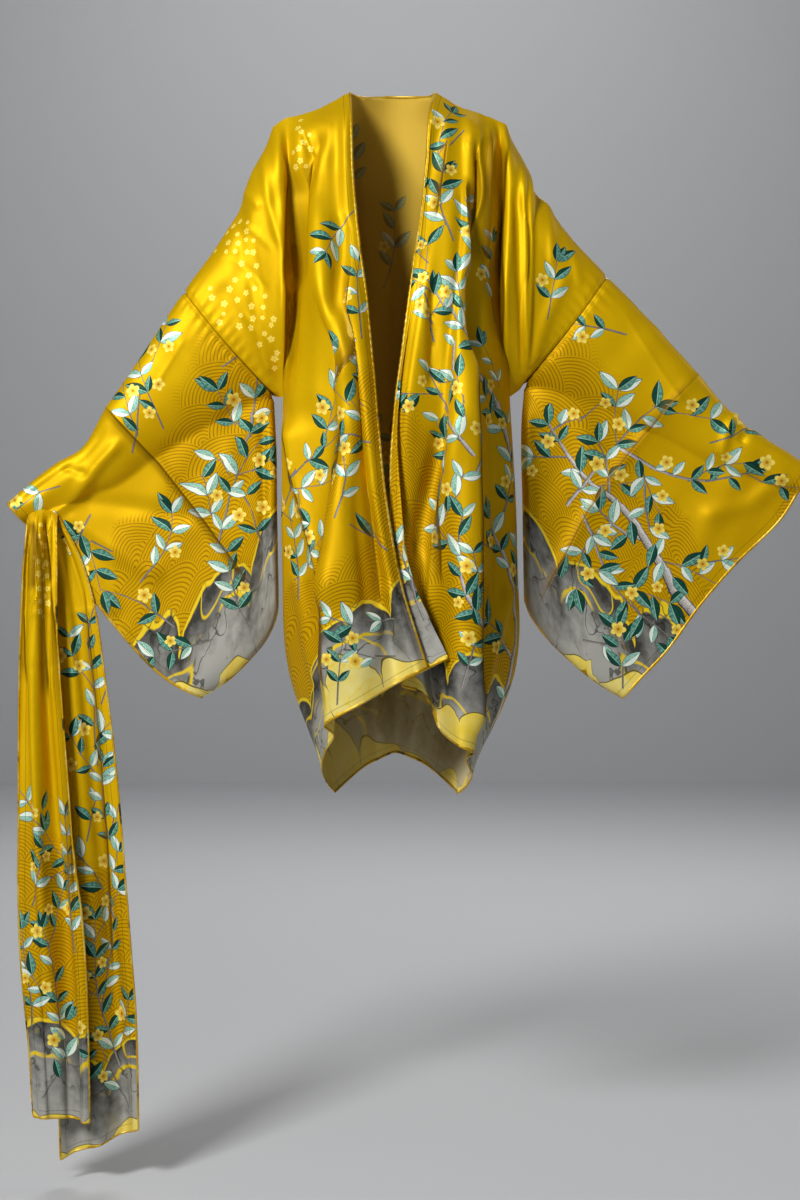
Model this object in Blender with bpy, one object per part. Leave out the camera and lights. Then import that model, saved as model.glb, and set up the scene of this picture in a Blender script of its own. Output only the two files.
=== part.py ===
"""A short kimono robe with its matching sash, as it hangs when it is worn open with the arms held out.

Metres, +Z up. The front of the robe faces -Y and +X is the viewer's right, so the wearer's right
half has negative x. The origin is on the shoulder line, midway between the two neck points.
The tables are in millimetres.
"""

from collections import namedtuple

import bpy
import numpy as np

MM = 0.001
WALL = 1.2 * MM
SEAM_GAP = 0.3 * MM

# How points count as one, and where shading turns sharp
TOUCH = 1e-6
WELD_DIGITS = 4
SHARP_ANGLE = 50.0

# Heights shared by the whole body of the robe: SHOULDER_ROUND of the way to the underarm the cloth has
# come out by SHOULDER_FULLNESS of its depth and ROUND_REACH of its way sideways.
PIT_LEVEL = -400.0
SHOULDER_ROUND = 0.07
SHOULDER_FULLNESS = 0.58
UPPER_KNOTS = (0.0, SHOULDER_ROUND, 0.28, 0.67, 1.0)
LOWER_KNOTS = (0.0, 0.4, 0.7, 1.0)
LOWER_SPREAD = 1.3
ROUND_REACH = 0.4
UPPER_ROWS = (0.0, 0.03, 0.08, 0.15, 0.25, 0.37, 0.5, 0.64, 0.78, 0.9, 1.0)
LOWER_CELLS = 12
CELLS_PER_FOLD = 2
ARM_CELLS = 6

# One row for each crest or valley line that runs down a front, from its edge to its side seam.
# x0 z0 lie on the shoulder line, x1 y1 at 0.28 and x2 y2 at 0.67 of the way to the underarm,
# x3 y3 at the underarm, x4 y4 at 0.4 and x5 y5 at 0.7 of the way on to the hem, x6 y6 z6 on the hem.
Line = namedtuple("Line", "name x0 z0 x1 y1 x2 y2 x3 y3 x4 y4 x5 y5 x6 y6 z6")
FRONT_RIGHT_LINES = (
    Line("edge", -57, 3, -52, -62, -37, -114, -24, -128, -9, -137, 10, -140, 43, -142, -751),
    Line("edge_roll", -64, 0, -61, -66, -49, -120, -36, -138, -21, -144, -2, -148, 30, -150, -757),
    Line("valley", -74, -6, -73, -50, -62, -113, -46, -126, -29, -128, -15, -128, 3, -130, -772),
    Line("column", -87, -13, -86, -62, -78, -126, -54, -138, -52, -146, -44, -148, -41, -146, -797),
    Line("lap_edge", -97, -18, -97, -62, -90, -124, -60, -130, -69, -136, -79, -136, -84, -134, -822),
    Line("lap_tuck", -105, -21, -105, -58, -98, -114, -50, -108, -56, -112, -65, -110, -74, -108, -838),
    Line("recess", -114, -24, -113, -52, -108, -100, -72, -102, -78, -102, -87, -98, -86, -84, -860),
    Line("corner", -128, -28, -124, -42, -121, -78, -129, -92, -98, -92, -108, -80, -92, -52, -885),
    Line("side_hollow", -142, -31, -136, -25, -133, -30, -139, -50, -137, -58, -132, -48, -86, -26, -905),
    Line("side", -158, -42, -142, -48, -139, -66, -144, -20, -145, -22, -136, -12, -77, -2, -919),
)
FRONT_LEFT_LINES = (
    Line("edge", 55, 3, 41, -58, 23, -114, 5, -124, -3, -125, -1, -127, 40, -132, -753),
    Line("edge_crest", 58, 2, 44, -61, 27, -117, 9, -129, 10, -131, 25, -134, 68, -136, -740),
    Line("strip_tuck", 61, 0, 48, -60, 29, -118, 8, -123, -6, -114, -9, -112, 12, -116, -771),
    Line("strip_floor", 66, -3, 56, -60, 35, -120, 15, -128, 4, -111, 6, -105, 31, -106, -781),
    Line("roll", 73, -7, 67, -60, 47, -124, 27, -132, 22, -116, 24, -110, 45, -108, -793),
    Line("valley", 86, -16, 89, -56, 75, -114, 65, -118, 55, -107, 47, -100, 60, -92, -830),
    Line("column", 97, -19, 105, -62, 87, -118, 81, -136, 79, -140, 80, -140, 84, -138, -849),
    Line("lap_edge", 106, -22, 118, -58, 95, -108, 97, -130, 101, -134, 102, -134, 102, -130, -858),
    Line("lap_tuck", 113, -24, 122, -50, 101, -98, 91, -111, 94, -112, 93, -108, 93, -104, -868),
    Line("recess", 120, -27, 126, -44, 112, -80, 110, -98, 111, -98, 111, -94, 99, -82, -882),
    Line("corner", 129, -30, 134, -34, 128, -50, 136, -74, 143, -72, 142, -66, 103, -56, -895),
    Line("side_hollow", 138, -34, 144, -22, 140, -26, 148, -46, 156, -42, 152, -36, 96, -28, -910),
    Line("side", 149, -39, 150, -45, 143, -64, 153, -15, 163, -14, 159, -10, 86, -4, -921),
)

# One row for each line that runs down the back: its share of the width and its depth at each level.
BackLine = namedtuple("BackLine", "share y1 y2 y3 y4 y5 y6")
BACK_LINES = (
    BackLine(0.055, 38, 46, 20, 24, 22, 20),
    BackLine(0.14, 44, 58, 58, 62, 60, 52),
    BackLine(0.25, 56, 76, 84, 92, 94, 88),
    BackLine(0.36, 60, 68, 72, 76, 78, 80),
    BackLine(0.49, 66, 82, 90, 100, 104, 102),
    BackLine(0.61, 62, 70, 74, 80, 82, 84),
    BackLine(0.74, 56, 76, 86, 94, 96, 90),
    BackLine(0.86, 44, 58, 60, 64, 60, 54),
    BackLine(0.945, 38, 46, 20, 24, 22, 20),
)
BACK_CREST_DEPTHS = (40, 52)
BACK_HEM_MIDDLE = -874.0
BACK_HEM_SIDE_DROP = 46.0
BACK_HEM_CURVE = 1.5
BACK_SHOULDER_CELLS = 7
BACK_NECK_CELLS = 6
NECK_HALF = 56.0
NECK_RISE = 3.0
BACK_NECK_DEPTH = 60.0
BACK_NECK_RISE = 8.0

# The arm parts of the body, from the shoulder point out to the sleeve seam
ArmPart = namedtuple("ArmPart", "ridge seam_top seam_bow pit depth")
RIGHT_ARM = ArmPart(
    ridge=((-158, -42), (-168, -69), (-186, -102), (-195, -125), (-201, -149), (-218, -178), (-275, -262)),
    seam_top=(-275, -262),
    seam_bow=3.0,
    pit=(-156, -399),
    depth=38.0,
)
LEFT_ARM = ArmPart(
    ridge=((149, -39), (156, -58), (172, -87), (182, -108), (186, -128), (202, -144), (213, -161), (282, -242)),
    seam_top=(282, -242),
    seam_bow=3.0,
    pit=(172, -384),
    depth=38.0,
)

# The sleeves: their outlines in the plane of the arms, each from the armhole or inner edge outwards
Sleeve = namedtuple("Sleeve", "ridge cuff inner hem_fold pinch_depth")
RIGHT_SLEEVE = Sleeve(
    ridge=((-275, -262), (-374, -409), (-413, -469), (-442, -486), (-473, -508), (-506, -539)),
    cuff=((-506, -539), (-483, -565), (-399, -659), (-347, -722), (-315, -756), (-288, -777), (-252, -795)),
    inner=((-156, -399), (-154, -470), (-153, -560), (-151, -667)),
    hem_fold=((-151, -667), (-152, -682), (-163, -713), (-189, -746), (-216, -772), (-252, -795)),
    pinch_depth=24.0,
)
LEFT_SLEEVE = Sleeve(
    ridge=((282, -242), (340, -301), (401, -370), (454, -429), (491, -455), (548, -492)),
    cuff=((548, -492), (536, -516), (514, -554), (451, -618), (405, -671), (358, -735), (323, -772), (302, -796)),
    inner=((172, -384), (170, -430), (171, -540), (173, -667)),
    hem_fold=((173, -667), (180, -686), (199, -713), (234, -748), (273, -779), (302, -796)),
    pinch_depth=28.0,
)
ARMHOLE_SHARE = 0.39
PIT_EASE = 2.0
PIT_EASE_POWER = 6
SLEEVE_LOWER_CELLS = 9
SLEEVE_CELLS = 13
BAG_DEPTH = 13.0
BAG_END = 0.11
BAG_BOTTOM = 0.07
BAG_TOP = 0.06
WRIST_SHARE = 0.10
WRIST_EASE = 0.8
TUBE_LEAN = 0.72
TUBE_SQUARE = 2.4
TUBE_BLEND = 4.0
SLEEVE_SPREAD = 0.92

# The two falls of the sash: x of both edges at each level down, and the pleats between them
Fall = namedtuple("Fall", "levels left right hem_left hem_right lean pleats swing phase")
FRONT_FALL = Fall(
    levels=(-554, -600, -668, -765, -935, -1129, -1262, -1342),
    left=(-476, -481, -484, -487, -488, -484, -470, -464),
    right=(-440, -437, -435, -432, -418, -399, -395, -395),
    hem_left=-1338.0,
    hem_right=-1344.0,
    lean=22.0,
    pleats=1.4,
    swing=10.0,
    phase=0.35,
)
BACK_FALL = Fall(
    levels=(-554, -600, -668, -765, -935, -1129, -1262, -1385),
    left=(-476, -470, -464, -457, -451, -445, -441, -438),
    right=(-440, -416, -394, -379, -359, -342, -334, -331),
    hem_left=-1399.0,
    hem_right=-1359.0,
    lean=3.0,
    pleats=1.7,
    swing=7.0,
    phase=0.1,
)
SASH_ROWS = 26
SASH_CELLS = 8
SASH_TOP_RISE = 6.0
SASH_DRAFT_SEAT = -100.0
SASH_BIGHT = 0.02
SASH_SWING_AT_TOP = 0.35

# Colours of the plain satin
Satin = namedtuple("Satin", "name colour roughness")
SATIN = Satin("golden_satin", (0.68, 0.41, 0.012, 1.0), 0.34)


def spline(knots, values, at):
    """Cubic Hermite curve through the values at the knots, with the slope of its two neighbours at each."""
    knots = np.asarray(knots, float)
    values = np.asarray(values, float)
    slopes = np.gradient(values, knots, axis=0)
    at = np.asarray(at, float)
    cell = np.clip(np.searchsorted(knots, at, side="right") - 1, 0, len(knots) - 2)
    width = knots[cell + 1] - knots[cell]
    share = (at - knots[cell]) / width
    extra = (1,) * (values.ndim - 1)
    share = share.reshape(share.shape + extra)
    width = width.reshape(width.shape + extra)
    low, high = values[cell], values[cell + 1]
    bend_low, bend_high = slopes[cell] * width, slopes[cell + 1] * width
    square, cube = share**2, share**3
    return (
        (2 * cube - 3 * square + 1) * low
        + (cube - 2 * square + share) * bend_low
        + (3 * square - 2 * cube) * high
        + (cube - square) * bend_high
    )


def along(points, at):
    """Points at the given shares of the length of a smooth curve through the points."""
    points = np.asarray(points, float)
    steps = np.linalg.norm(np.diff(points, axis=0), axis=1)
    knots = np.concatenate([[0.0], np.cumsum(steps)]) / steps.sum()
    return spline(knots, points, at)


def lift(flat, depth=0.0):
    """Points (x, z) of the front plane as (x, y, z) with the given depth y."""
    flat = np.asarray(flat, float)
    return np.stack([flat[..., 0], np.broadcast_to(depth, flat.shape[:-1]), flat[..., 1]], axis=-1)


def coons(top, bottom, start, end, down, across):
    """Patch between four curves: top and bottom run across, start and end run down."""
    down = down[:, None, None]
    across = across[None, :, None]
    ruled_across = (1 - across) * start[:, None] + across * end[:, None]
    ruled_down = (1 - down) * top[None] + down * bottom[None]
    corners = (1 - down) * ((1 - across) * top[0] + across * top[-1])
    corners = corners + down * ((1 - across) * bottom[0] + across * bottom[-1])
    return ruled_across + ruled_down - corners


def front_net(lines):
    """Control points (level, line, xyz) of a front, shoulder line first, and of its half below the underarm."""
    upper, lower = [], []
    for line in lines:
        at = [line.z0 + knot * (PIT_LEVEL - line.z0) for knot in UPPER_KNOTS]
        round_x = line.x0 + ROUND_REACH * (line.x1 - line.x0)
        upper.append(
            (
                (line.x0, 0.0, at[0]),
                (round_x, SHOULDER_FULLNESS * line.y1, at[1]),
                (line.x1, line.y1, at[2]),
                (line.x2, line.y2, at[3]),
                (line.x3, line.y3, at[4]),
            )
        )
        drop = line.z6 - PIT_LEVEL
        lower.append(
            (
                (line.x3, line.y3, PIT_LEVEL),
                (line.x4, line.y4, PIT_LEVEL + LOWER_KNOTS[1] * drop),
                (line.x5, line.y5, PIT_LEVEL + LOWER_KNOTS[2] * drop),
                (line.x6, line.y6, line.z6),
            )
        )
    return np.swapaxes(np.array(upper, float), 0, 1), np.swapaxes(np.array(lower, float), 0, 1)


def down_rows(upper, lower, upper_at, lower_at):
    """The net's lines sampled down both halves as one smooth run, as an array (row, line, xyz)."""
    knots = np.concatenate([UPPER_KNOTS, 1.0 + LOWER_SPREAD * np.array(LOWER_KNOTS[1:])])
    at = np.concatenate([upper_at, 1.0 + LOWER_SPREAD * np.array(lower_at[1:])])
    return spline(knots, np.concatenate([upper, lower[1:]]), at)


def tube_share(share):
    """How far an arm's tube stands out, 0 on its ridge, 1 a third of the way round and 0 at the underarm."""
    turned = np.clip(share, 0.0, 1.0) ** TUBE_LEAN
    return np.sqrt(np.clip(1.0 - np.abs(2.0 * turned - 1.0) ** TUBE_SQUARE, 0.0, None))


def seam_curve(arm, down, side):
    """The sleeve seam on the front (side -1) or the back (side 1), from the ridge to the underarm."""
    top, pit = np.array(arm.seam_top, float), np.array(arm.pit, float)
    line = top + down[:, None] * (pit - top)
    normal = np.array([-(pit - top)[1], (pit - top)[0]]) / np.linalg.norm(pit - top)
    outwards = normal * np.sign(normal[0]) * np.sign(top[0])
    line = line + arm.seam_bow * np.sin(np.pi * down)[:, None] * outwards
    return lift(line, side * arm.depth * tube_share(down))


def arm_patch(arm, crest, down, across, side):
    """The body's arm part, from the crest line of the torso out to the sleeve seam."""
    top = lift(along(arm.ridge, across))
    top[0] = crest[0]
    bottom = crest[-1] + across[:, None] * (lift(np.array(arm.pit, float)) - crest[-1])
    return coons(top, bottom, crest, seam_curve(arm, down, side), down, across)


def surface_normals(points):
    """Unit normals of a grid (row, column, xyz) whose rows run down and columns run to the viewer's right."""
    down = np.gradient(points, axis=0)
    right = np.gradient(points, axis=1)
    normals = np.cross(down, right)
    return normals / np.linalg.norm(normals, axis=-1, keepdims=True)


def curve_normals(curve, axis, like):
    """Unit vectors square to the curve and to the axis, on the side of the given vectors."""
    normals = np.cross(np.gradient(curve, axis=0), axis)
    normals /= np.linalg.norm(normals, axis=-1, keepdims=True)
    sides = np.sum(normals * like, axis=-1, keepdims=True)
    return normals * np.where(sides < 0, -1.0, 1.0)


class Panel:
    """A sheet of cloth: points, unit normals and the four-cornered faces between them."""

    def __init__(self):
        self.points = np.zeros((0, 3))
        self.normals = np.zeros((0, 3))
        self.quads = np.zeros((0, 4), int)

    def add(self, points, normals, turned=False):
        """Adds a grid whose faces point forwards, or backwards where it is turned."""
        rows, columns = points.shape[:2]
        index = np.arange(rows * columns).reshape(rows, columns) + len(self.points)
        quads = np.stack([index[:-1, :-1], index[1:, :-1], index[1:, 1:], index[:-1, 1:]], axis=-1)
        quads = quads.reshape(-1, 4)
        self.quads = np.concatenate([self.quads, quads[:, ::-1] if turned else quads])
        self.points = np.concatenate([self.points, points.reshape(-1, 3)])
        self.normals = np.concatenate([self.normals, normals.reshape(-1, 3)])

    def weld(self):
        """Makes one point of those that lie on each other."""
        keys = np.round(self.points, WELD_DIGITS)
        _, first, index = np.unique(keys, axis=0, return_index=True, return_inverse=True)
        self.points = self.points[first]
        self.normals = self.normals[first]
        self.quads = index.reshape(-1)[self.quads]

    def rim(self):
        """The edges that only one face uses, in that face's direction."""
        ends = np.concatenate([self.quads[:, [i, (i + 1) % 4]] for i in range(4)])
        keys = np.sort(ends, axis=1)
        _, index, count = np.unique(keys, axis=0, return_inverse=True, return_counts=True)
        return ends[count[index.reshape(-1)] == 1]

    def drawn_in(self, rim):
        """The points with those of the rim moved into the cloth by half a seam gap."""
        inwards = np.zeros_like(self.points)
        step = self.points[rim[:, 1]] - self.points[rim[:, 0]]
        for end in (0, 1):
            left = np.cross(self.normals[rim[:, end]], step)
            np.add.at(inwards, rim[:, end], left / np.linalg.norm(left, axis=1, keepdims=True))
        length = np.linalg.norm(inwards, axis=1, keepdims=True)
        half_gap = SEAM_GAP / MM / 2
        return self.points + half_gap * inwards / np.maximum(length, TOUCH)

    def wall(self):
        """Points and faces of the closed wall that the cloth's thickness makes, in metres."""
        self.weld()
        rim = self.rim()
        middle = self.drawn_in(rim)
        half = WALL / MM / 2
        outer, inner = middle + half * self.normals, middle - half * self.normals
        count = len(middle)
        edge = np.stack([rim[:, 1], rim[:, 0], rim[:, 0] + count, rim[:, 1] + count], axis=1)
        faces = np.concatenate([self.quads, self.quads[:, ::-1] + count, edge])
        return np.concatenate([outer, inner]) * MM, faces


def front_panel(lines, arm, mirrored):
    """One front with its arm part: the torso's folds first, then the cloth over the arm."""
    upper, lower = front_net(lines)
    upper_at, lower_at = np.array(UPPER_ROWS), np.linspace(0, 1, LOWER_CELLS + 1)
    rows = down_rows(upper, lower, upper_at, lower_at)
    knots = np.arange(len(lines), dtype=float)
    columns_at = np.linspace(0, len(lines) - 1, CELLS_PER_FOLD * (len(lines) - 1) + 1)
    torso = np.swapaxes(spline(knots, np.swapaxes(rows, 0, 1), columns_at), 0, 1)
    torso[0, :, 1] = 0.0
    across = np.linspace(0, 1, ARM_CELLS + 1)
    over_arm = arm_patch(arm, torso[: len(upper_at), -1], upper_at, across, -1)
    return dress_body(torso, over_arm, None, len(upper_at), arm, None, mirrored, -1)


def dress_body(torso, outer_arm, other_arm, upper_count, arm, second, mirrored, side):
    """Joins a torso grid and its arm parts into one panel with its seam normals set."""
    top = torso[:upper_count]
    grids = [top] if other_arm is None else [other_arm[:, :0:-1], top]
    joined = np.concatenate(grids + [outer_arm[:, 1:]], axis=1)
    ordered = joined[:, ::-1] if mirrored else joined
    normals = surface_normals(ordered)
    normals = normals if side < 0 else -normals
    normals = normals[:, ::-1] if mirrored else normals
    whole = surface_normals(torso[:, ::-1] if mirrored else torso)
    whole = whole if side < 0 else -whole
    whole = whole[:, ::-1] if mirrored else whole
    depth_axis = np.array([0.0, 1.0, 0.0])
    offset = 0 if other_arm is None else other_arm.shape[1] - 1
    width = torso.shape[1]
    is_shoulder = np.abs(joined[0, :, 1]) < TOUCH
    ridge = curve_normals(joined[0], depth_axis, np.array([0.0, 0.0, 1.0]))
    normals[0, is_shoulder] = ridge[is_shoulder]
    outside = np.array([np.sign(arm.pit[0]), 0.0, 0.0])
    below = slice(upper_count - 1, None)
    whole[below, -1] = curve_normals(torso[below, -1], depth_axis, outside)
    if other_arm is not None:
        whole[below, 0] = curve_normals(torso[below, 0], depth_axis, -outside)
    normals[-1, offset : offset + width] = whole[upper_count - 1]
    set_armhole(normals, joined, -1, arm)
    if second is not None:
        set_armhole(normals, joined, 0, second)
    underarm = np.array([0.0, 0.0, -1.0])
    if other_arm is not None:
        normals[-1, :offset] = curve_normals(joined[-1, : offset + 1], depth_axis, underarm)[:-1]
    outer_edge = joined[-1, offset + width - 1 :]
    normals[-1, offset + width :] = curve_normals(outer_edge, depth_axis, underarm)[1:]
    panel = Panel()
    panel.add(joined, normals, turned=mirrored != (side > 0))
    lower_normals = whole[upper_count - 1 :].copy()
    panel.add(torso[upper_count - 1 :], lower_normals, turned=mirrored != (side > 0))
    return panel


def set_armhole(normals, joined, column, arm):
    """Turns the normals at the sleeve seam square to the sleeve's own direction."""
    seam = np.array(arm.pit, float) - np.array(arm.seam_top, float)
    seam_down = lift(seam / np.linalg.norm(seam))
    sleeve_way = np.cross(seam_down, [0.0, 1.0, 0.0])
    curve = joined[:, column]
    ring = curve_normals(curve, sleeve_way, normals[:, column])
    ring[0] = -seam_down
    ring[-1] = seam_down
    normals[:, column] = ring


def back_start(share, left, right):
    """The back's upper edge: both shoulder lines and, between the neck points, the round of the neck."""
    x = left + share * (right - left)
    inside = np.clip(1.0 - (x / NECK_HALF) ** 2, 0.0, 1.0)
    return x, BACK_NECK_DEPTH * np.sqrt(inside), inside * BACK_NECK_RISE


def shoulder_height(x):
    """Height of the shoulder line at x, from the fronts' own tables."""
    lines = FRONT_RIGHT_LINES if x < 0 else FRONT_LEFT_LINES
    reach = sorted((abs(line.x0), line.z0) for line in lines)
    return float(np.interp(abs(x), [row[0] for row in reach], [row[1] for row in reach]))


def back_panel(right_side, left_side):
    """The back, between the side seams that the two fronts give, with an arm part at each end."""
    upper_at, lower_at = np.array(UPPER_ROWS), np.linspace(0, 1, LOWER_CELLS + 1)
    first, last = FRONT_RIGHT_LINES[-1], FRONT_LEFT_LINES[-1]
    shares = [0.0] + [line.share for line in BACK_LINES] + [1.0]
    upper, lower = [], []
    for number, share in enumerate(shares):
        crest = number in (0, len(shares) - 1)
        depths = BACK_CREST_DEPTHS if crest else BACK_LINES[number - 1][1:3]
        x0, y0, rise = back_start(share, first.x0, last.x0)
        z0 = shoulder_height(x0) if abs(x0) > NECK_HALF else NECK_RISE + rise
        heights = [z0 + knot * (PIT_LEVEL - z0) for knot in UPPER_KNOTS]
        x1 = first.x1 + share * (last.x1 - first.x1)
        x2 = first.x2 + share * (last.x2 - first.x2)
        x3 = first.x3 + share * (last.x3 - first.x3)
        edge = first if number == 0 else last
        y3 = edge.y3 if crest else BACK_LINES[number - 1].y3
        full = y0 + SHOULDER_FULLNESS * (depths[0] - y0)
        upper.append(
            (
                (x0, y0, heights[0]),
                (x0 + ROUND_REACH * (x1 - x0), full, heights[1]),
                (x1, depths[0], heights[2]),
                (x2, depths[1], heights[3]),
                (x3, y3, PIT_LEVEL),
            )
        )
        hem = BACK_HEM_MIDDLE - BACK_HEM_SIDE_DROP * abs(2 * share - 1) ** BACK_HEM_CURVE
        below = [(x3, y3, PIT_LEVEL)]
        for level, knot in enumerate(LOWER_KNOTS[1:]):
            names = ("x4", "x5", "x6")[level], ("y4", "y5", "y6")[level]
            x = getattr(first, names[0]) + share * (getattr(last, names[0]) - getattr(first, names[0]))
            y = getattr(edge, names[1]) if crest else getattr(BACK_LINES[number - 1], names[1])
            below.append((x, y, PIT_LEVEL + knot * (hem - PIT_LEVEL)))
        lower.append(below)
    upper = np.swapaxes(np.array(upper, float), 0, 1)
    lower = np.swapaxes(np.array(lower, float), 0, 1)
    rows = down_rows(upper, lower, upper_at, lower_at)
    span = last.x0 - first.x0
    neck = ((-NECK_HALF - first.x0) / span, (NECK_HALF - first.x0) / span)
    columns = np.concatenate(
        [
            np.linspace(0, neck[0], BACK_SHOULDER_CELLS + 1),
            np.linspace(neck[0], neck[1], BACK_NECK_CELLS + 1)[1:],
            np.linspace(neck[1], 1, BACK_SHOULDER_CELLS + 1)[1:],
        ]
    )
    torso = np.swapaxes(spline(shares, np.swapaxes(rows, 0, 1), columns), 0, 1)
    for column, share in enumerate(columns):
        x, y, rise = back_start(share, first.x0, last.x0)
        on_shoulder = abs(x) >= NECK_HALF - TOUCH
        torso[0, column] = (x, 0.0, shoulder_height(x)) if on_shoulder else (x, y, NECK_RISE + rise)
    count = len(upper_at)
    torso[count - 1 :, 0] = right_side
    torso[count - 1 :, -1] = left_side
    across = np.linspace(0, 1, ARM_CELLS + 1)
    left_arm = arm_patch(LEFT_ARM, torso[:count, -1], upper_at, across, 1)
    right_arm = arm_patch(RIGHT_ARM, torso[:count, 0], upper_at, across, 1)
    return dress_body(torso, left_arm, right_arm, count, LEFT_ARM, RIGHT_ARM, False, 1)


def rounded(share, reach):
    """0 at an end of the cloth and 1 past the reach, in a quarter round."""
    return np.sqrt(1.0 - (1.0 - np.clip(share / reach, 0.0, 1.0)) ** 2)


def sleeve_depth(down, out, arm, sleeve):
    """Half the thickness of a sleeve: the arm's tube near its ridge and a flat bag below it."""
    wrist = ARMHOLE_SHARE + (WRIST_SHARE - ARMHOLE_SHARE) * out**WRIST_EASE
    tube = (arm.depth + (sleeve.pinch_depth - arm.depth) * out) * tube_share(down / wrist)
    bag = BAG_DEPTH * rounded(out, BAG_END) * rounded(1.0 - down, BAG_BOTTOM) * rounded(down, BAG_TOP)
    return (tube**TUBE_BLEND + bag**TUBE_BLEND) ** (1 / TUBE_BLEND)


def sleeve_grid(arm, sleeve, side):
    """One layer of a sleeve as a grid (down, out, xyz)."""
    upper = ARMHOLE_SHARE * np.array(UPPER_ROWS)
    lower = np.linspace(0, 1, SLEEVE_LOWER_CELLS + 1)[1:]
    down = np.concatenate([upper, ARMHOLE_SHARE + (1 - ARMHOLE_SHARE) * lower])
    out = np.linspace(0, 1, SLEEVE_CELLS + 1) ** SLEEVE_SPREAD
    seam = seam_curve(arm, np.array(UPPER_ROWS), side)
    run = np.array(arm.pit, float) - np.array(arm.seam_top, float)
    away = np.array([run[1], 0.0, -run[0]]) / np.linalg.norm(run)
    away = away * np.sign(away[0]) * np.sign(arm.pit[0])
    seam = seam + PIT_EASE * np.array(UPPER_ROWS)[:, None] ** PIT_EASE_POWER * away
    start = np.concatenate([seam[:, [0, 2]], along((seam[-1, [0, 2]],) + sleeve.inner[1:], lower)])
    patch = coons(
        lift(along(sleeve.ridge, out)),
        lift(along(sleeve.hem_fold, out)),
        lift(start),
        lift(along(sleeve.cuff, down)),
        down,
        out,
    )
    patch[:, :, 1] = side * sleeve_depth(down[:, None], out[None, :], arm, sleeve)
    patch[: len(seam), 0] = seam
    return patch


def sleeve_panel(arm, sleeve):
    """A sleeve: front and back layers that are one along the ridge, the bottom fold and the inner edge."""
    mirrored = arm.pit[0] < 0
    depth_axis = np.array([0.0, 1.0, 0.0])
    outside = np.sign(arm.pit[0])
    panel = Panel()
    for side in (-1, 1):
        grid = sleeve_grid(arm, sleeve, side)
        normals = surface_normals(grid[:, ::-1] if mirrored else grid)
        normals = normals[:, ::-1] if mirrored else normals
        normals = normals if side < 0 else -normals
        normals[0] = curve_normals(grid[0], depth_axis, np.array([outside, 0.0, 1.0]))
        normals[-1] = curve_normals(grid[-1], depth_axis, np.array([0.0, 0.0, -1.0]))
        pit = len(UPPER_ROWS) - 1
        inner = curve_normals(grid[pit:, 0], depth_axis, np.array([-outside, 0.0, 0.0]))
        set_armhole(normals[: pit + 1], grid[: pit + 1], 0, arm)
        normals[pit + 1 :, 0] = inner[1:]
        panel.add(grid, normals, turned=mirrored != (side > 0))
    return panel


def sash_panel(fall, seat, side):
    """One fall of the sash, pleated between its edges, in front of the surface at depth seat."""
    heights = np.array(fall.levels, float)
    knots = (heights[0] - heights) / (heights[0] - heights[-1])
    down = np.linspace(0, 1, SASH_ROWS + 1)
    across = np.linspace(0, 1, SASH_CELLS + 1)
    left, right = spline(knots, fall.left, down), spline(knots, fall.right, down)
    hem = fall.hem_left + across * (fall.hem_right - fall.hem_left)
    top = heights[0] + SASH_TOP_RISE * np.sin(np.pi * across)
    x = left[:, None] + across[None] * (right - left)[:, None]
    z = top[None] + down[:, None] * (hem - top)[None]
    opened = 1.0 - np.exp(-down / SASH_BIGHT)
    swing = fall.swing * (SASH_SWING_AT_TOP + (1 - SASH_SWING_AT_TOP) * np.sqrt(down))
    wave = np.cos(2 * np.pi * (fall.pleats * across[None] + fall.phase * (1 + down[:, None])))
    middle = (FRONT_FALL.lean + BACK_FALL.lean) / 2
    lean = middle + (fall.lean + fall.swing - middle) * opened
    y = seat - lean[:, None] - (swing * opened)[:, None] * wave
    y[0] = seat - middle
    grid = np.stack([x, y, z], axis=-1)
    normals = surface_normals(grid) * -side
    normals[0] = curve_normals(grid[0], np.array([0.0, 1.0, 0.0]), np.array([0.0, 0.0, 1.0]))
    panel = Panel()
    panel.add(grid, normals, turned=side > 0)
    return panel


def depth_over(panel, depths, x, z):
    """Foremost of the panel's depths at points of the front plane, read on its triangles; infinite beside it."""
    front = panel.quads[panel.points[panel.quads][..., 1].max(axis=1) <= 0.0]
    corners = np.concatenate([front[:, :3], front[:, [0, 2, 3]]])
    place = panel.points[corners][..., [0, 2]]
    start, second, third = place[:, 0], place[:, 1] - place[:, 0], place[:, 2] - place[:, 0]
    area = second[:, 0] * third[:, 1] - second[:, 1] * third[:, 0]
    to_x, to_z = x[None] - start[:, :1], z[None] - start[:, 1:]
    share_second = (to_x * third[:, 1:] - to_z * third[:, :1]) / area[:, None]
    share_third = (second[:, :1] * to_z - second[:, 1:] * to_x) / area[:, None]
    inside = (share_second >= 0) & (share_third >= 0) & (share_second + share_third <= 1)
    near, far_second, far_third = (depths[corners[:, [k]]] for k in range(3))
    found = near + share_second * (far_second - near) + share_third * (far_third - near)
    return np.where(inside, found, np.inf).min(axis=0)


def seat_depth(sleeve):
    """Depth at which the back fall, made for a seat of 0, lies one seam gap in front of the sleeve."""
    half = WALL / MM / 2
    face = sleeve.points[:, 1] - half
    fall = sash_panel(BACK_FALL, SASH_DRAFT_SEAT, 1)
    back = fall.points[:, 1] + half
    at_fall = depth_over(sleeve, face, fall.points[:, 0], fall.points[:, 2]) - back
    under = np.isfinite(depth_over(fall, back, sleeve.points[:, 0], sleeve.points[:, 2]))
    under &= sleeve.points[:, 1] < 0
    places = sleeve.points[under]
    at_sleeve = face[under] - depth_over(fall, back, places[:, 0], places[:, 2])
    clearance = min(at_fall.min(), at_sleeve.min())
    return SASH_DRAFT_SEAT + clearance - SEAM_GAP / MM


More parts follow.
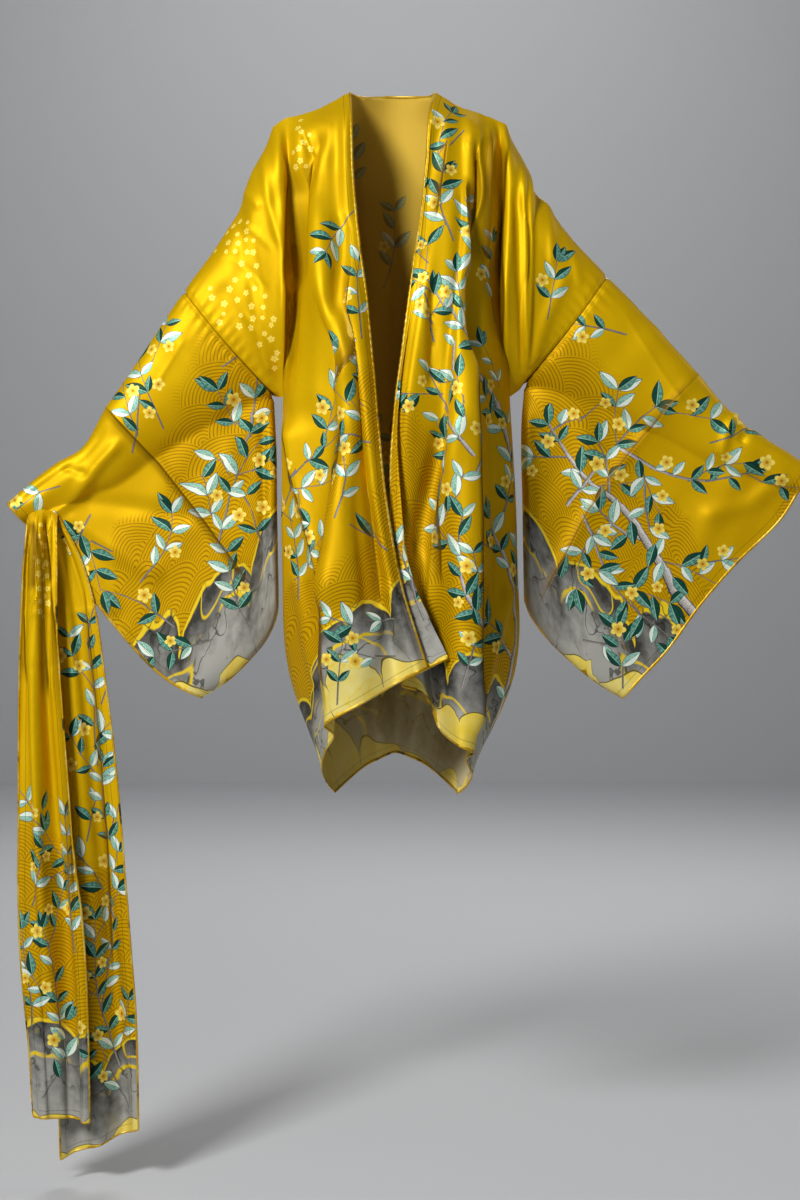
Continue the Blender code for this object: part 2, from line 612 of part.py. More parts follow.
def satin_material(satin):
    """A plain satin: one colour, a soft gloss and no metal."""
    material = bpy.data.materials.new(satin.name)
    material.use_nodes = True
    shader = material.node_tree.nodes["Principled BSDF"]
    shader.inputs["Base Color"].default_value = satin.colour
    shader.inputs["Roughness"].default_value = satin.roughness
    shader.inputs["Metallic"].default_value = 0.0
    return material


def add_piece(name, panel):
    """Makes the panel's wall an object of its own."""
    points, faces = panel.wall()
    mesh = bpy.data.meshes.new(name)
    mesh.from_pydata(points.tolist(), [], faces.tolist())
    mesh.validate()
    mesh.shade_smooth()
    mesh.set_sharp_from_angle(angle=np.radians(SHARP_ANGLE))
    piece = bpy.data.objects.new(name, mesh)
    piece.data.materials.append(satin_material(SATIN._replace(name=SATIN.name + "_" + name)))
    bpy.context.scene.collection.objects.link(piece)
    return piece


def clear_scene():
    """Removes every object that the file starts with."""
    for existing in list(bpy.data.objects):
        bpy.data.objects.remove(existing, do_unlink=True)


def main():
    """Makes the fronts, the back between their side seams, the sleeves and the two falls of the sash."""
    clear_scene()
    front_right = front_panel(FRONT_RIGHT_LINES, RIGHT_ARM, True)
    front_left = front_panel(FRONT_LEFT_LINES, LEFT_ARM, False)
    lower_at = np.linspace(0, 1, LOWER_CELLS + 1)
    sides = []
    for lines in (FRONT_RIGHT_LINES, FRONT_LEFT_LINES):
        upper, lower = front_net(lines)
        rows = down_rows(upper, lower, np.array(UPPER_ROWS), lower_at)
        sides.append(rows[len(UPPER_ROWS) - 1 :, -1])
    back = back_panel(*sides)
    sleeve_right = sleeve_panel(RIGHT_ARM, RIGHT_SLEEVE)
    sleeve_left = sleeve_panel(LEFT_ARM, LEFT_SLEEVE)
    seat = seat_depth(sleeve_right)
    add_piece("front_right", front_right)
    add_piece("front_left", front_left)
    add_piece("back", back)
    add_piece("sleeve_right", sleeve_right)
    add_piece("sleeve_left", sleeve_left)
    add_piece("sash_front_fall", sash_panel(FRONT_FALL, seat, -1))
    add_piece("sash_back_fall", sash_panel(BACK_FALL, seat, 1))


main()
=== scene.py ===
"""Looks of a short kimono robe in printed golden satin, worn open, with its sash over one wrist.

Lengths in the tables are millimetres in the frame's own axes: x to the viewer's right, z up and
y away from the viewer, with the origin on the shoulder line. Meshes and the print are in metres.
"""

import logging
import math
from dataclasses import dataclass, field
from enum import Enum
from typing import NamedTuple, Optional, Sequence, Union

import bpy
import numpy as np
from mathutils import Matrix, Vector

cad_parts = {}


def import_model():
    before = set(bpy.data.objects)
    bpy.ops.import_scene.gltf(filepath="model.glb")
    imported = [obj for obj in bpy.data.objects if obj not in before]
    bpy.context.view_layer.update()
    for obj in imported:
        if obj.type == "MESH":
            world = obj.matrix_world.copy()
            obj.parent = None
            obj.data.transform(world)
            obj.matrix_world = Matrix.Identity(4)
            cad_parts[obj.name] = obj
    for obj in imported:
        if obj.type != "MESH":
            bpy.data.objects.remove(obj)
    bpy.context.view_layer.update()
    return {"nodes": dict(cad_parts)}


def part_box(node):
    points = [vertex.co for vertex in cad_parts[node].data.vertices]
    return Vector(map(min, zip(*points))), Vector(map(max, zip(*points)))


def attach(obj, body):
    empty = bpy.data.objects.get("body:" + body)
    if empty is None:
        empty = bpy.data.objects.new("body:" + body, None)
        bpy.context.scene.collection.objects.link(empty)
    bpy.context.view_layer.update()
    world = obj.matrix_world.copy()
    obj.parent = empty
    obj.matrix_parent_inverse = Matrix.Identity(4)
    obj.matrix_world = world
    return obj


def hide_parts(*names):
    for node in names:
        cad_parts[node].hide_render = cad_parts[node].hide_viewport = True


# Millimetre in metres, thickness of the shells, and a length past any on the cloth.
MM = 0.001
SHELL = 0.7
FAR = 1e3
BODY = "root"
LOG = logging.getLogger("robe")

Array = np.ndarray
Socket = bpy.types.NodeSocket
Material = bpy.types.Material


class Side(Enum):
    """Which way a layer of cloth faces."""

    FRONT = -1
    BACK = 1


class FoldLine(NamedTuple):
    """A crest or valley that runs down a front, in mm: on the shoulder, at five levels and on the hem."""

    name: str
    x0: float
    z0: float
    x1: float
    y1: float
    x2: float
    y2: float
    x3: float
    y3: float
    x4: float
    y4: float
    x5: float
    y5: float
    x6: float
    y6: float
    z6: float

    @property
    def across(self) -> Array:
        """x at the five levels and the hem."""
        return np.array([self.x1, self.x2, self.x3, self.x4, self.x5, self.x6], float)

    @property
    def depths(self) -> Array:
        """y at the five levels and the hem."""
        return np.array([self.y1, self.y2, self.y3, self.y4, self.y5, self.y6], float)


class BackLine(NamedTuple):
    """A line down the back: its share of the width, then its depth at the five levels and the hem."""

    share: float
    y1: float
    y2: float
    y3: float
    y4: float
    y5: float
    y6: float


class Profile(Enum):
    """Section of a crease."""

    SOFT = "soft"
    PRESSED = "pressed"
    STEP = "step"


class Crease(NamedTuple):
    """A crease through points (x, z) of the front plane, in mm; a negative height is a trough."""

    points: tuple
    width: float
    height: float
    profile: Profile = Profile.SOFT


class Motif(Enum):
    """What a printed motif shows; the value is its code in the shader."""

    TEAL_LEAF = 1.0
    MINT_LEAF = 2.0
    BLOSSOM = 3.0
    PLUM = 4.0
    TWIG = 5.0


class Spray(NamedTuple):
    """A branching motif: where it starts, where it heads, how far it goes and what it carries."""

    x: float
    z: float
    heading: float
    steps: int
    bend: float
    thick: float
    leaf: float = 31.0
    blossoms: int = 1


# The underarm, the round of the shoulder and the knots of the body's lines above and below it.
PIT_LEVEL = -400.0
SHOULDER_ROUND = 0.07
SHOULDER_FULLNESS = 0.58
SHOULDER_SPREAD = 0.4
UPPER_KNOTS = (0.0, SHOULDER_ROUND, 0.28, 0.67, 1.0)
LOWER_KNOTS = (0.0, 0.4, 0.7, 1.0)
LOWER_SCALE = 1.3

# The body's lines: the fronts' folds from the edge to the side seam, and the back's.
FRONT_RIGHT_LINES = (
    FoldLine("edge", -57, 3, -52, -62, -37, -114, -24, -128, -9, -137, 10, -140, 43, -142, -751),
    FoldLine("edge_roll", -64, 0, -61, -66, -49, -120, -36, -138, -21, -144, -2, -148, 30, -150, -757),
    FoldLine("valley", -74, -6, -73, -60, -62, -120, -46, -126, -29, -128, -15, -128, 3, -130, -772),
    FoldLine("column", -87, -13, -86, -62, -78, -126, -54, -138, -52, -146, -44, -148, -41, -146, -797),
    FoldLine("lap_edge", -97, -18, -97, -62, -90, -124, -60, -130, -69, -136, -79, -136, -84, -134, -822),
    FoldLine("lap_tuck", -105, -21, -105, -58, -98, -114, -50, -108, -56, -112, -65, -110, -74, -108, -838),
    FoldLine("recess", -114, -24, -113, -52, -108, -100, -72, -102, -78, -102, -87, -98, -86, -84, -860),
    FoldLine("corner", -128, -28, -124, -42, -121, -76, -126, -76, -108, -72, -114, -62, -92, -46, -885),
    FoldLine("side_dip", -142, -31, -136, -25, -133, -30, -139, -44, -139, -42, -132, -34, -86, -24, -905),
    FoldLine("side", -158, -42, -142, -48, -139, -66, -144, -20, -145, -22, -136, -12, -77, -2, -919),
)
FRONT_LEFT_LINES = (
    FoldLine("edge", 55, 3, 41, -58, 23, -114, 5, -124, -3, -125, -1, -127, 40, -132, -753),
    FoldLine("edge_crest", 58, 2, 44, -61, 27, -117, 9, -129, 10, -131, 25, -134, 68, -136, -740),
    FoldLine("strip_tuck", 61, 0, 48, -60, 29, -118, 8, -123, -6, -114, -9, -112, 12, -116, -771),
    FoldLine("strip_floor", 66, -3, 56, -60, 35, -120, 15, -128, 4, -111, 6, -105, 31, -106, -781),
    FoldLine("roll", 73, -7, 67, -60, 47, -124, 27, -132, 22, -116, 24, -110, 45, -108, -793),
    FoldLine("valley", 86, -16, 89, -56, 75, -114, 65, -118, 55, -107, 47, -100, 60, -92, -830),
    FoldLine("column", 97, -19, 105, -62, 87, -118, 81, -136, 79, -140, 80, -140, 84, -138, -849),
    FoldLine("lap_edge", 106, -22, 118, -58, 95, -108, 97, -130, 101, -134, 102, -134, 102, -130, -858),
    FoldLine("lap_tuck", 113, -24, 122, -50, 101, -98, 91, -111, 94, -112, 93, -108, 93, -104, -868),
    FoldLine("recess", 120, -27, 126, -44, 112, -80, 110, -98, 111, -98, 111, -94, 99, -82, -882),
    FoldLine("corner", 129, -30, 134, -34, 128, -50, 134, -70, 138, -64, 137, -58, 103, -48, -895),
    FoldLine("side_hollow", 138, -34, 144, -22, 140, -26, 148, -46, 156, -42, 152, -36, 96, -28, -910),
    FoldLine("side", 149, -39, 150, -45, 143, -64, 153, -15, 163, -14, 159, -10, 86, -4, -921),
)
BACK_LINES = (
    BackLine(0.055, 38, 46, 20, 24, 22, 20),
    BackLine(0.14, 44, 58, 58, 62, 60, 52),
    BackLine(0.25, 56, 76, 84, 92, 94, 88),
    BackLine(0.36, 60, 68, 72, 76, 78, 80),
    BackLine(0.49, 66, 82, 90, 100, 104, 102),
    BackLine(0.61, 62, 70, 74, 80, 82, 84),
    BackLine(0.74, 56, 76, 86, 94, 96, 90),
    BackLine(0.86, 44, 58, 60, 64, 60, 54),
    BackLine(0.945, 38, 46, 20, 24, 22, 20),
)
# The back's crests over the shoulders, its hem and its neck.
BACK_CREST_DEPTHS = (40.0, 52.0)
BACK_HEM_MIDDLE = -874.0
BACK_HEM_SIDE_DROP = 46.0
BACK_HEM_CURVE = 1.5
NECK_HALF = 56.0
NECK_RISE = 3.0
BACK_NECK_DEPTH = 60.0
BACK_NECK_RISE = 8.0


class ArmPart(NamedTuple):
    """The body's cloth over an upper arm: its ridge, its sleeve seam and its underarm."""

    ridge: tuple
    seam_top: tuple
    seam_bow: float
    pit: tuple
    depth: float


class SleeveCut(NamedTuple):
    """A sleeve's outline in the plane of the arms."""

    ridge: tuple
    cuff: tuple
    inner: tuple
    hem_fold: tuple
    pinch_depth: float


# The arms as they are held, the sleeves' outlines, and the fullness of arm and bag.
RIGHT_ARM = ArmPart(
    ridge=((-158, -42), (-168, -69), (-186, -102), (-195, -125), (-201, -149), (-218, -178), (-275, -262)),
    seam_top=(-275, -262),
    seam_bow=3.0,
    pit=(-156, -399),
    depth=38.0,
)
LEFT_ARM = ArmPart(
    ridge=((149, -39), (156, -58), (172, -87), (182, -108), (186, -128), (202, -144), (213, -161),
           (282, -242)),
    seam_top=(282, -242),
    seam_bow=3.0,
    pit=(172, -384),
    depth=38.0,
)
RIGHT_SLEEVE = SleeveCut(
    ridge=((-275, -262), (-374, -409), (-413, -469), (-442, -486), (-473, -508), (-506, -539)),
    cuff=((-506, -539), (-483, -565), (-399, -659), (-347, -722), (-315, -756), (-288, -777), (-252, -795)),
    inner=((-156, -399), (-154, -470), (-153, -560), (-151, -667)),
    hem_fold=((-151, -667), (-152, -682), (-163, -713), (-189, -746), (-216, -772), (-252, -795)),
    pinch_depth=24.0,
)
LEFT_SLEEVE = SleeveCut(
    ridge=((282, -242), (340, -301), (401, -370), (454, -429), (491, -455), (548, -492)),
    cuff=((548, -492), (536, -516), (514, -554), (451, -618), (405, -671), (358, -735), (323, -772),
          (302, -796)),
    inner=((172, -384), (170, -430), (171, -540), (173, -667)),
    hem_fold=((173, -667), (180, -686), (199, -713), (234, -748), (273, -779), (302, -796)),
    pinch_depth=28.0,
)
ARMHOLE_SHARE = 0.39
PIT_EASE = 2.0
PIT_EASE_POWER = 6
BAG_DEPTH = 13.0
BAG_END = 0.11
BAG_BOTTOM = 0.07
BAG_TOP = 0.06
WRIST_SHARE = 0.10
WRIST_EASE = 0.8

# How creases, folds and seams fade, in mm, or as a share of a crease's length.
CREASE_END = 0.16
CREASE_END_LEFT = 0.12
FOLD_END = 0.14
FOLD_SHOWS = 8.0
FOLD_FADES = 5.0
SEAM_SHOWS = 8.0
SEAM_FADES = 4.0
TOP_EASE = 14.0
SEAM_EASE = 12.0
SIDE_EASE = 10.0
BOTTOM_EASE = 16.0
PUCKER_EASE = 6.0
SEAM_REACH = 60.0

# How a layer is searched and read: cells left at its edges, favour for outer points, and sizes in mm.
FIRST_CELLS = 3
LAST_CELLS = 5
OUTER_FAVOUR = 1.5
LEAST_RISE = 0.3
CELL_RANGE = (0.8, 12.0)
STAMP_REACH = 1.5
STAMP_MARGIN = 6

# An arm's tube: how it leans to the ridge and how square it is. A wave's sway and the sway's pace.
TUBE_LEAN = 0.72
TUBE_SQUARE = 2.4
WAVE_SWAY = 1.7
SWAY_PACE = 0.37

# The angle from which an edge is shaded sharp, in degrees, and how far off the shoulder line the neck starts.
SHARP_ANGLE = 60
ON_SHOULDER = 1e-6


def spline(knots: Sequence[float], values: Array, at: Array) -> Array:
    """Cubic Hermite curve through the values; the slope at a knot is the mean over its two neighbours.

    Args:
        knots: rising parameter of each value.
        values: one value or point for each knot.
        at: parameters to read.

    Returns:
        The values at those parameters.
    """
    knots = np.asarray(knots, float)
    values = np.asarray(values, float)
    slopes = np.gradient(values, knots, axis=0)
    at = np.asarray(at, float)
    cell = np.clip(np.searchsorted(knots, at, side="right") - 1, 0, len(knots) - 2)
    width = knots[cell + 1] - knots[cell]
    share = (at - knots[cell]) / width
    extra = (1,) * (values.ndim - 1)
    share = share.reshape(share.shape + extra)
    width = width.reshape(width.shape + extra)
    square, cube = share**2, share**3
    return (
        (2 * cube - 3 * square + 1) * values[cell]
        + (cube - 2 * square + share) * slopes[cell] * width
        + (3 * square - 2 * cube) * values[cell + 1]
        + (cube - square) * slopes[cell + 1] * width
    )


def along(points: Sequence, at: Array) -> Array:
    """Points at shares of the length of a smooth curve through the given points.

    Args:
        points: points of the curve, in order.
        at: shares of its length.

    Returns:
        A point for each share.
    """
    points = np.asarray(points, float)
    steps = np.linalg.norm(np.diff(points, axis=0), axis=1)
    knots = np.concatenate([[0.0], np.cumsum(steps)]) / steps.sum()
    return spline(knots, points, at)


def lift(flat: Array, depth: Union[float, Array] = 0.0) -> Array:
    """Points (x, z) of the front plane as (x, y, z) at the given depth."""
    flat = np.asarray(flat, float)
    return np.stack([flat[..., 0], np.broadcast_to(depth, flat.shape[:-1]), flat[..., 1]], axis=-1)


def coons(top: Array, bottom: Array, start: Array, end: Array, down: Array, across: Array) -> Array:
    """Patch between four curves: the two ruled surfaces between opposite curves, less the bilinear one.

    Args:
        top: curve across at down 0.
        bottom: curve across at down 1.
        start: curve down at across 0.
        end: curve down at across 1.
        down: shares down of the rows.
        across: shares across of the columns.

    Returns:
        Points (row, column, xyz).
    """
    down = down[:, None, None]
    across = across[None, :, None]
    ruled_across = (1 - across) * start[:, None] + across * end[:, None]
    ruled_down = (1 - down) * top[None] + down * bottom[None]
    corners = (1 - down) * ((1 - across) * top[0] + across * top[-1])
    corners = corners + down * ((1 - across) * bottom[0] + across * bottom[-1])
    return ruled_across + ruled_down - corners


def smooth(value: Array) -> Array:
    """Eases 0 to 1 with level ends: 3 v squared less 2 v cubed, clamped."""
    value = np.clip(value, 0.0, 1.0)
    return value * value * (3 - 2 * value)


def rounded(share: Array, reach: float) -> Array:
    """0 at an end of the cloth and 1 past the reach, in a quarter round."""
    return np.sqrt(1.0 - (1.0 - np.clip(share / reach, 0.0, 1.0)) ** 2)


def tube_share(share: Array) -> Array:
    """How far an arm's tube stands out: 0 on its ridge, 1 a third of the way round, 0 at the underarm."""
    turned = np.clip(share, 0.0, 1.0) ** TUBE_LEAN
    return np.sqrt(np.clip(1.0 - np.abs(2.0 * turned - 1.0) ** TUBE_SQUARE, 0.0, None))


def unit(vectors: Array) -> Array:
    """The vectors at length 1."""
    return vectors / np.maximum(np.linalg.norm(vectors, axis=-1, keepdims=True), 1e-12)


def polyline_field(x: Array, z: Array, points: Sequence) -> tuple:
    """Distance from a polyline in the front plane, with its side and how far along it the place lies.

    Args:
        x: x of the places.
        z: their heights.
        points: (x, z) of the polyline's corners.

    Returns:
        (distance, side, share): side is positive on the left hand of the run, share runs 0 to 1.
    """
    points = np.asarray(points, float)
    steps = np.diff(points, axis=0)
    lengths = np.linalg.norm(steps, axis=1)
    starts = np.concatenate([[0.0], np.cumsum(lengths)])[:-1]
    best = np.full(x.shape, np.inf)
    side = np.zeros(x.shape)
    share = np.zeros(x.shape)
    for corner, step, length, start in zip(points[:-1], steps, lengths, starts):
        to_x, to_z = x - corner[0], z - corner[1]
        at = np.clip((to_x * step[0] + to_z * step[1]) / length**2, 0.0, 1.0)
        distance = np.hypot(to_x - at * step[0], to_z - at * step[1])
        nearer = distance < best
        best = np.where(nearer, distance, best)
        side = np.where(nearer, step[0] * to_z - step[1] * to_x, side)
        share = np.where(nearer, (start + at * length) / lengths.sum(), share)
    return best, np.sign(side), share


def crease_heights(points: Array, creases: Sequence[Crease]) -> Array:
    """Sum of the creases' heights at points of the cloth, each faded out at its ends.

    Soft: height times exp(-(d / w) squared). Pressed: height times exp(-d / w).
    Step: the pressed form on the crease's left hand, and a third as wide on its right.

    Args:
        points: (..., 3) points of the cloth.
        creases: the creases on it.

    Returns:
        The heights, in mm.
    """
    total = np.zeros(points.shape[:-1])
    for crease in creases:
        distance, side, share = polyline_field(points[..., 0], points[..., 2], crease.points)
        if crease.profile is Profile.SOFT:
            section = np.exp(-((distance / crease.width) ** 2))
        elif crease.profile is Profile.PRESSED:
            section = np.exp(-distance / crease.width)
        else:
            section = np.exp(-distance / np.where(side > 0, crease.width, crease.width / 3))
        ends = smooth(np.minimum(share, 1 - share) / CREASE_END + CREASE_END_LEFT)
        total += crease.height * section * ends
    return total


def fold_line(points: Array, creases: Sequence[Crease]) -> Array:
    """Where the sharp folds run: signed distance from the nearest one, in metres, and its strength.

    Args:
        points: the cloth's points.
        creases: all of its creases; only the stepped ones are sharp.

    Returns:
        (..., 2) distance, positive on the fold's wide side, and strength, 0 at its ends and 13 mm away.
    """
    nearest = np.full(points.shape[:-1], 99.0)
    signed, strength = nearest.copy(), np.zeros_like(nearest)
    for crease in creases:
        if crease.profile is not Profile.STEP:
            continue
        distance, side, share = polyline_field(points[..., 0], points[..., 2], crease.points)
        closer = distance < nearest
        nearest = np.where(closer, distance, nearest)
        signed = np.where(closer, distance * np.where(side < 0, -1.0, 1.0), signed)
        strength = np.where(closer, smooth(np.minimum(share, 1 - share) / FOLD_END), strength)
    strength = strength * (1.0 - smooth((nearest - FOLD_SHOWS) / FOLD_FADES))
    return np.stack([signed * MM, strength], axis=-1)


def ripple(points: Array, waves: Sequence[tuple]) -> Array:
    """Slight waves of the cloth: a sum of sines, each (height, x period, z period, phase) in mm.

    Args:
        points: the cloth's points.
        waves: the sines that are added up.

    Returns:
        The heights, in mm.
    """
    x, z = points[..., 0], points[..., 2]
    total = np.zeros(x.shape)
    for height, period_x, period_z, phase in waves:
        turn = 2 * math.pi * (x / period_x + z / period_z) + phase
        total += height * np.sin(turn + WAVE_SWAY * np.sin(turn * SWAY_PACE + phase))
    return total


def with_folds(edge: Array, points: Array, creases: Sequence[Crease],
               seam: Optional[Array] = None) -> Array:
    """The distance from the hemmed edges, and the sharp folds' distance and strength, by which shade is
    painted along the folds.

    Args:
        edge: distance from the hemmed edges, in metres.
        points: the cloth's points, in mm.
        creases: all of its creases.
        seam: distance from a seam, in mm, which gets the folds' painted shade and relief within 8 mm of it.

    Returns:
        (..., 3) edge, fold and strength.
    """
    folds = fold_line(points, creases)
    if seam is not None:
        near = seam < SEAM_SHOWS
        folds[..., 0] = np.where(near, seam * MM, folds[..., 0])
        folds[..., 1] = np.where(near, 1.0 - smooth((seam - SEAM_FADES) / SEAM_FADES), folds[..., 1])
    return np.concatenate([edge[..., None], folds], axis=-1)


def placed(name: str, data: bpy.types.ID) -> bpy.types.Object:
    """A new object of the scene that holds the data.

    Args:
        name: the object's name.
        data: its mesh, light or camera.

    Returns:
        The object.
    """
    made = bpy.data.objects.new(name, data)
    bpy.context.scene.collection.objects.link(made)
    return made


def store_vectors(mesh: bpy.types.Mesh, name: str, domain: str, values: Array) -> None:
    """Writes a vector attribute to a mesh, on its points or its faces' corners."""
    made = mesh.attributes.new(name, "FLOAT_VECTOR", domain)
    made.data.foreach_set("vector", values.astype(np.float32).ravel())


@dataclass
class Layer:
    """One layer of cloth on a grid (row, column); missing cells hold NaN."""

    points: Array
    side: Side
    normals: Array = field(init=False)
    row_run: Array = field(init=False)
    column_run: Array = field(init=False)
    prints: dict = field(default_factory=dict)

    def __post_init__(self) -> None:
        """Works out the normals and the run of the cloth along rows and columns."""
        self.measure()

    @property
    def valid(self) -> Array:
        """True where the grid has a point."""
        return np.isfinite(self.points[..., 0])

    @property
    def cells(self) -> Array:
        """True for each cell whose four corners exist."""
        valid = self.valid
        return valid[:-1, :-1] & valid[1:, :-1] & valid[1:, 1:] & valid[:-1, 1:]

    def measure(self) -> None:
        """Normals are the summed cross products of each cell's diagonals; runs are summed edge lengths."""
        grid = self.points
        first = grid[1:, 1:] - grid[:-1, :-1]
        second = grid[1:, :-1] - grid[:-1, 1:]
        cell = np.where(self.cells[..., None], np.cross(second, first), 0.0)
        normals = np.zeros_like(grid)
        for rows in (slice(0, -1), slice(1, None)):
            for columns in (slice(0, -1), slice(1, None)):
                normals[rows, columns] += np.nan_to_num(cell)
        self.normals = unit(normals) * -float(self.side.value)
        across = np.nan_to_num(np.linalg.norm(np.diff(grid, axis=1), axis=2))
        down = np.nan_to_num(np.linalg.norm(np.diff(grid, axis=0), axis=2))
        self.row_run = np.pad(np.cumsum(across, axis=1), ((0, 0), (1, 0)))
        self.column_run = np.pad(np.cumsum(down, axis=0), ((1, 0), (0, 0)))

    def displace(self, heights: Array) -> None:
        """Moves the cloth along its normals and measures it again."""
        self.points = self.points + heights[..., None] * self.normals
        self.measure()

    def run_from(self, column: int) -> Array:
        """Distance of each point from a column, along its row."""
        return np.abs(self.row_run - self.row_run[:, column, None])

    def nearest(self, x: float, z: float) -> tuple:
        """Row and column of the outermost point near (x, z), kept clear of the grid's edges.

        Args:
            x: to the viewer's right, in mm.
            z: up, in mm.

        Returns:
            (row, column), as floats.
        """
        grid = self.points
        depth = grid[..., 1] * float(self.side.value)
        distance = (grid[..., 0] - x) ** 2 + (grid[..., 2] - z) ** 2
        score = np.where(self.valid, distance - OUTER_FAVOUR * depth, np.inf)
        place = np.unravel_index(np.nanargmin(score), score.shape)
        return tuple(
            float(np.clip(at, FIRST_CELLS, count - LAST_CELLS)) for at, count in zip(place, score.shape)
        )

    def inside(self, row: float, column: float, margin: int = 2) -> bool:
        """Whether a place of the grid is on the cloth, clear of its edges.

        Args:
            row: grid row of the place.
            column: its grid column.
            margin: cells kept clear at the edges.

        Returns:
            True on the cloth.
        """
        rows, columns = self.valid.shape
        if not (margin <= row < rows - margin and margin <= column < columns - margin):
            return False
        return bool(self.valid[int(row), int(column)] and self.valid[int(row) + 1, int(column) + 1])

    def cell_size(self, row: int, column: int) -> tuple:
        """Width and height of a cell along the cloth.

        Args:
            row: grid row of the cell.
            column: its grid column.

        Returns:
            (width, height), in mm.
        """
        across = self.row_run[row, column + 1] - self.row_run[row, column]
        down = self.column_run[row + 1, column] - self.column_run[row, column]
        return across, down

    def step(self, row: float, column: float, right: float, down: float) -> tuple:
        """The grid place that lies so many mm to the right and down on the flat cloth.

        Args:
            row: grid row of the start.
            column: its grid column.
            right: mm to the right.
            down: mm down.

        Returns:
            (row, column) of the place.
        """
        width, height = self.cell_size(int(row), int(column))
        lean = self.lean(int(row), int(column))
        move_down = down / max(math.sqrt(1 - lean**2), LEAST_RISE)
        move_right = right - move_down * lean
        return row + move_down / max(height, MM), column + move_right / max(width, MM)

    def lean(self, row: int, column: int) -> float:
        """Cosine of the angle between the grid's two directions.

        Args:
            row: grid row.
            column: grid column.

        Returns:
            The cosine, 0 where the grid has no size.
        """
        right = unit(self.points[row, column + 1] - self.points[row, column])
        down = unit(self.points[row + 1, column] - self.points[row, column])
        value = float(np.dot(right, down))
        return value if math.isfinite(value) else 0.0

    def around(self, row: float, column: float, far: float) -> tuple:
        """Flat coordinates of the cloth round a place of the grid.

        Args:
            row: grid row of the place.
            column: its grid column.
            far: how far the cloth is read, in mm.

        Returns:
            (rows, columns, right, down): slices of the grid, and mm to the right of the place and below it.
        """
        at_row, at_column = int(row), int(column)
        part_row, part_column = row - at_row, column - at_column
        size = self.cell_size(at_row, at_column)
        wide, tall = (int(far / np.clip(cell, *CELL_RANGE)) + 2 for cell in size)
        rows = slice(max(at_row - tall, 0), min(at_row + tall, self.valid.shape[0]))
        columns = slice(max(at_column - wide, 0), min(at_column + wide, self.valid.shape[1]))
        run, drop = self.row_run[rows], self.column_run[:, columns]
        middle = (1 - part_column) * run[:, at_column] + part_column * run[:, at_column + 1]
        level = (1 - part_row) * drop[at_row] + part_row * drop[at_row + 1]
        lean = self.lean(at_row, at_column)
        down = self.column_run[rows, columns] - level[None]
        right = self.row_run[rows, columns] - middle[:, None] + down * lean
        return rows, columns, right, down * math.sqrt(1 - lean**2)

    def stamp(self, names: Sequence[str], row: float, column: float, heading: float, size: float,
              code: float, reach: tuple) -> bool:
        """Prints a motif in the first of the named layers where it meets no other.

        Args:
            names: attribute names of the print layers to try.
            row: grid row of the motif's foot.
            column: grid column of its foot.
            heading: angle of its run, anticlockwise from the right, in radians.
            size: its length in mm.
            code: third coordinate, read by the shader.
            reach: (start, end, half width) of the motif in its own length.

        Returns:
            Whether it was printed.
        """
        far = size * max(abs(reach[0]), abs(reach[1]), reach[2]) * STAMP_REACH + STAMP_MARGIN
        rows, columns, right, down = self.around(row, column, far)
        run_x, run_y = math.cos(heading), -math.sin(heading)
        local_x = (right * run_x + down * run_y) / size
        local_y = (down * run_x - right * run_y) / size
        near = (local_x > reach[0]) & (local_x < reach[1]) & (np.abs(local_y) < reach[2])
        inner = (slice(rows.start, rows.stop - 1), slice(columns.start, columns.stop - 1))
        cell = near[:-1, :-1] | near[1:, :-1] | near[1:, 1:] | near[:-1, 1:]
        cell &= self.cells[inner]
        if not cell.any():
            return False
        local = np.stack([local_x, local_y, np.full(local_x.shape, code)], axis=-1)
        corners = np.stack([local[:-1, :-1], local[1:, :-1], local[1:, 1:], local[:-1, 1:]], axis=2)
        for name in names:
            layer = self.prints.setdefault(name, np.zeros(self.cells.shape + (4, 3), np.float32))
            patch = layer[inner]
            if not (patch[..., 0, 2][cell] > 0).any():
                patch[cell] = corners[cell]
                return True
        return False


# Print layers, then the sizes in mm, angles in radians and chances of the motifs.
LEAF_LAYERS = ("leaf_a", "leaf_b", "leaf_c")
BLOSSOM_LAYERS = ("blossom_a", "leaf_c")
TWIG_LAYERS = ("twig_a", "twig_b")
SIDE_TWIG_LAYER = "twig_c"
PRINT_LAYERS = LEAF_LAYERS + BLOSSOM_LAYERS[:1] + TWIG_LAYERS + (SIDE_TWIG_LAYER,)
TWIG_STEP = 25.0
BARE_BOUGH = 3.6
LEAF_REACH = (-0.05, 1.05, 0.28)
BLOSSOM_REACH = (-1.05, 1.05, 1.05)
BOUGH_FOOT = -1.2
TWIG_FOOT = -0.08
LEAF_CHANCE = 0.80
BARE_LEAF_CHANCE = 0.12
PALE_CHANCE = 0.45
LEAF_SIZES = (0.75, 1.15)
LEAF_TURNS = (0.55, 1.15)
SIDE_TURNS = (0.65, 1.0)
TIP_TURNS = (-0.55, 0.0, 0.55)
TIP_SIZES = (0.8, 1.1)
BOUGH_SWAY = 0.30
TWIG_SWAY = 0.16
BLOSSOM_TURNS = (1.0, 1.9)
BLOSSOM_AWAY = (11.0, 19.0)
BLOSSOM_SIZES = (8.5, 12.0)
PLUM_SIZES = (3.4, 5.4)
PLUM_TURN = 2.4
PLUM_WIDE = 0.6
PLUM_TALL = 1.3
TAPER = 0.8
LEAST_TWIG = 0.65
TWIG_END = 1.08
LEAST_REACH = 0.12
SIDE_STEPS = 3
SIDE_BEND = 9
LEAST_SIDE_TWIG = 0.9

# What separates the motifs' numbers in the material: each lies halfway between two kinds.
LEAF_CODE = 0.5
PALE_CODE = 1.5
BLOSSOM_CODE = 2.5
PLUM_CODE = 3.5


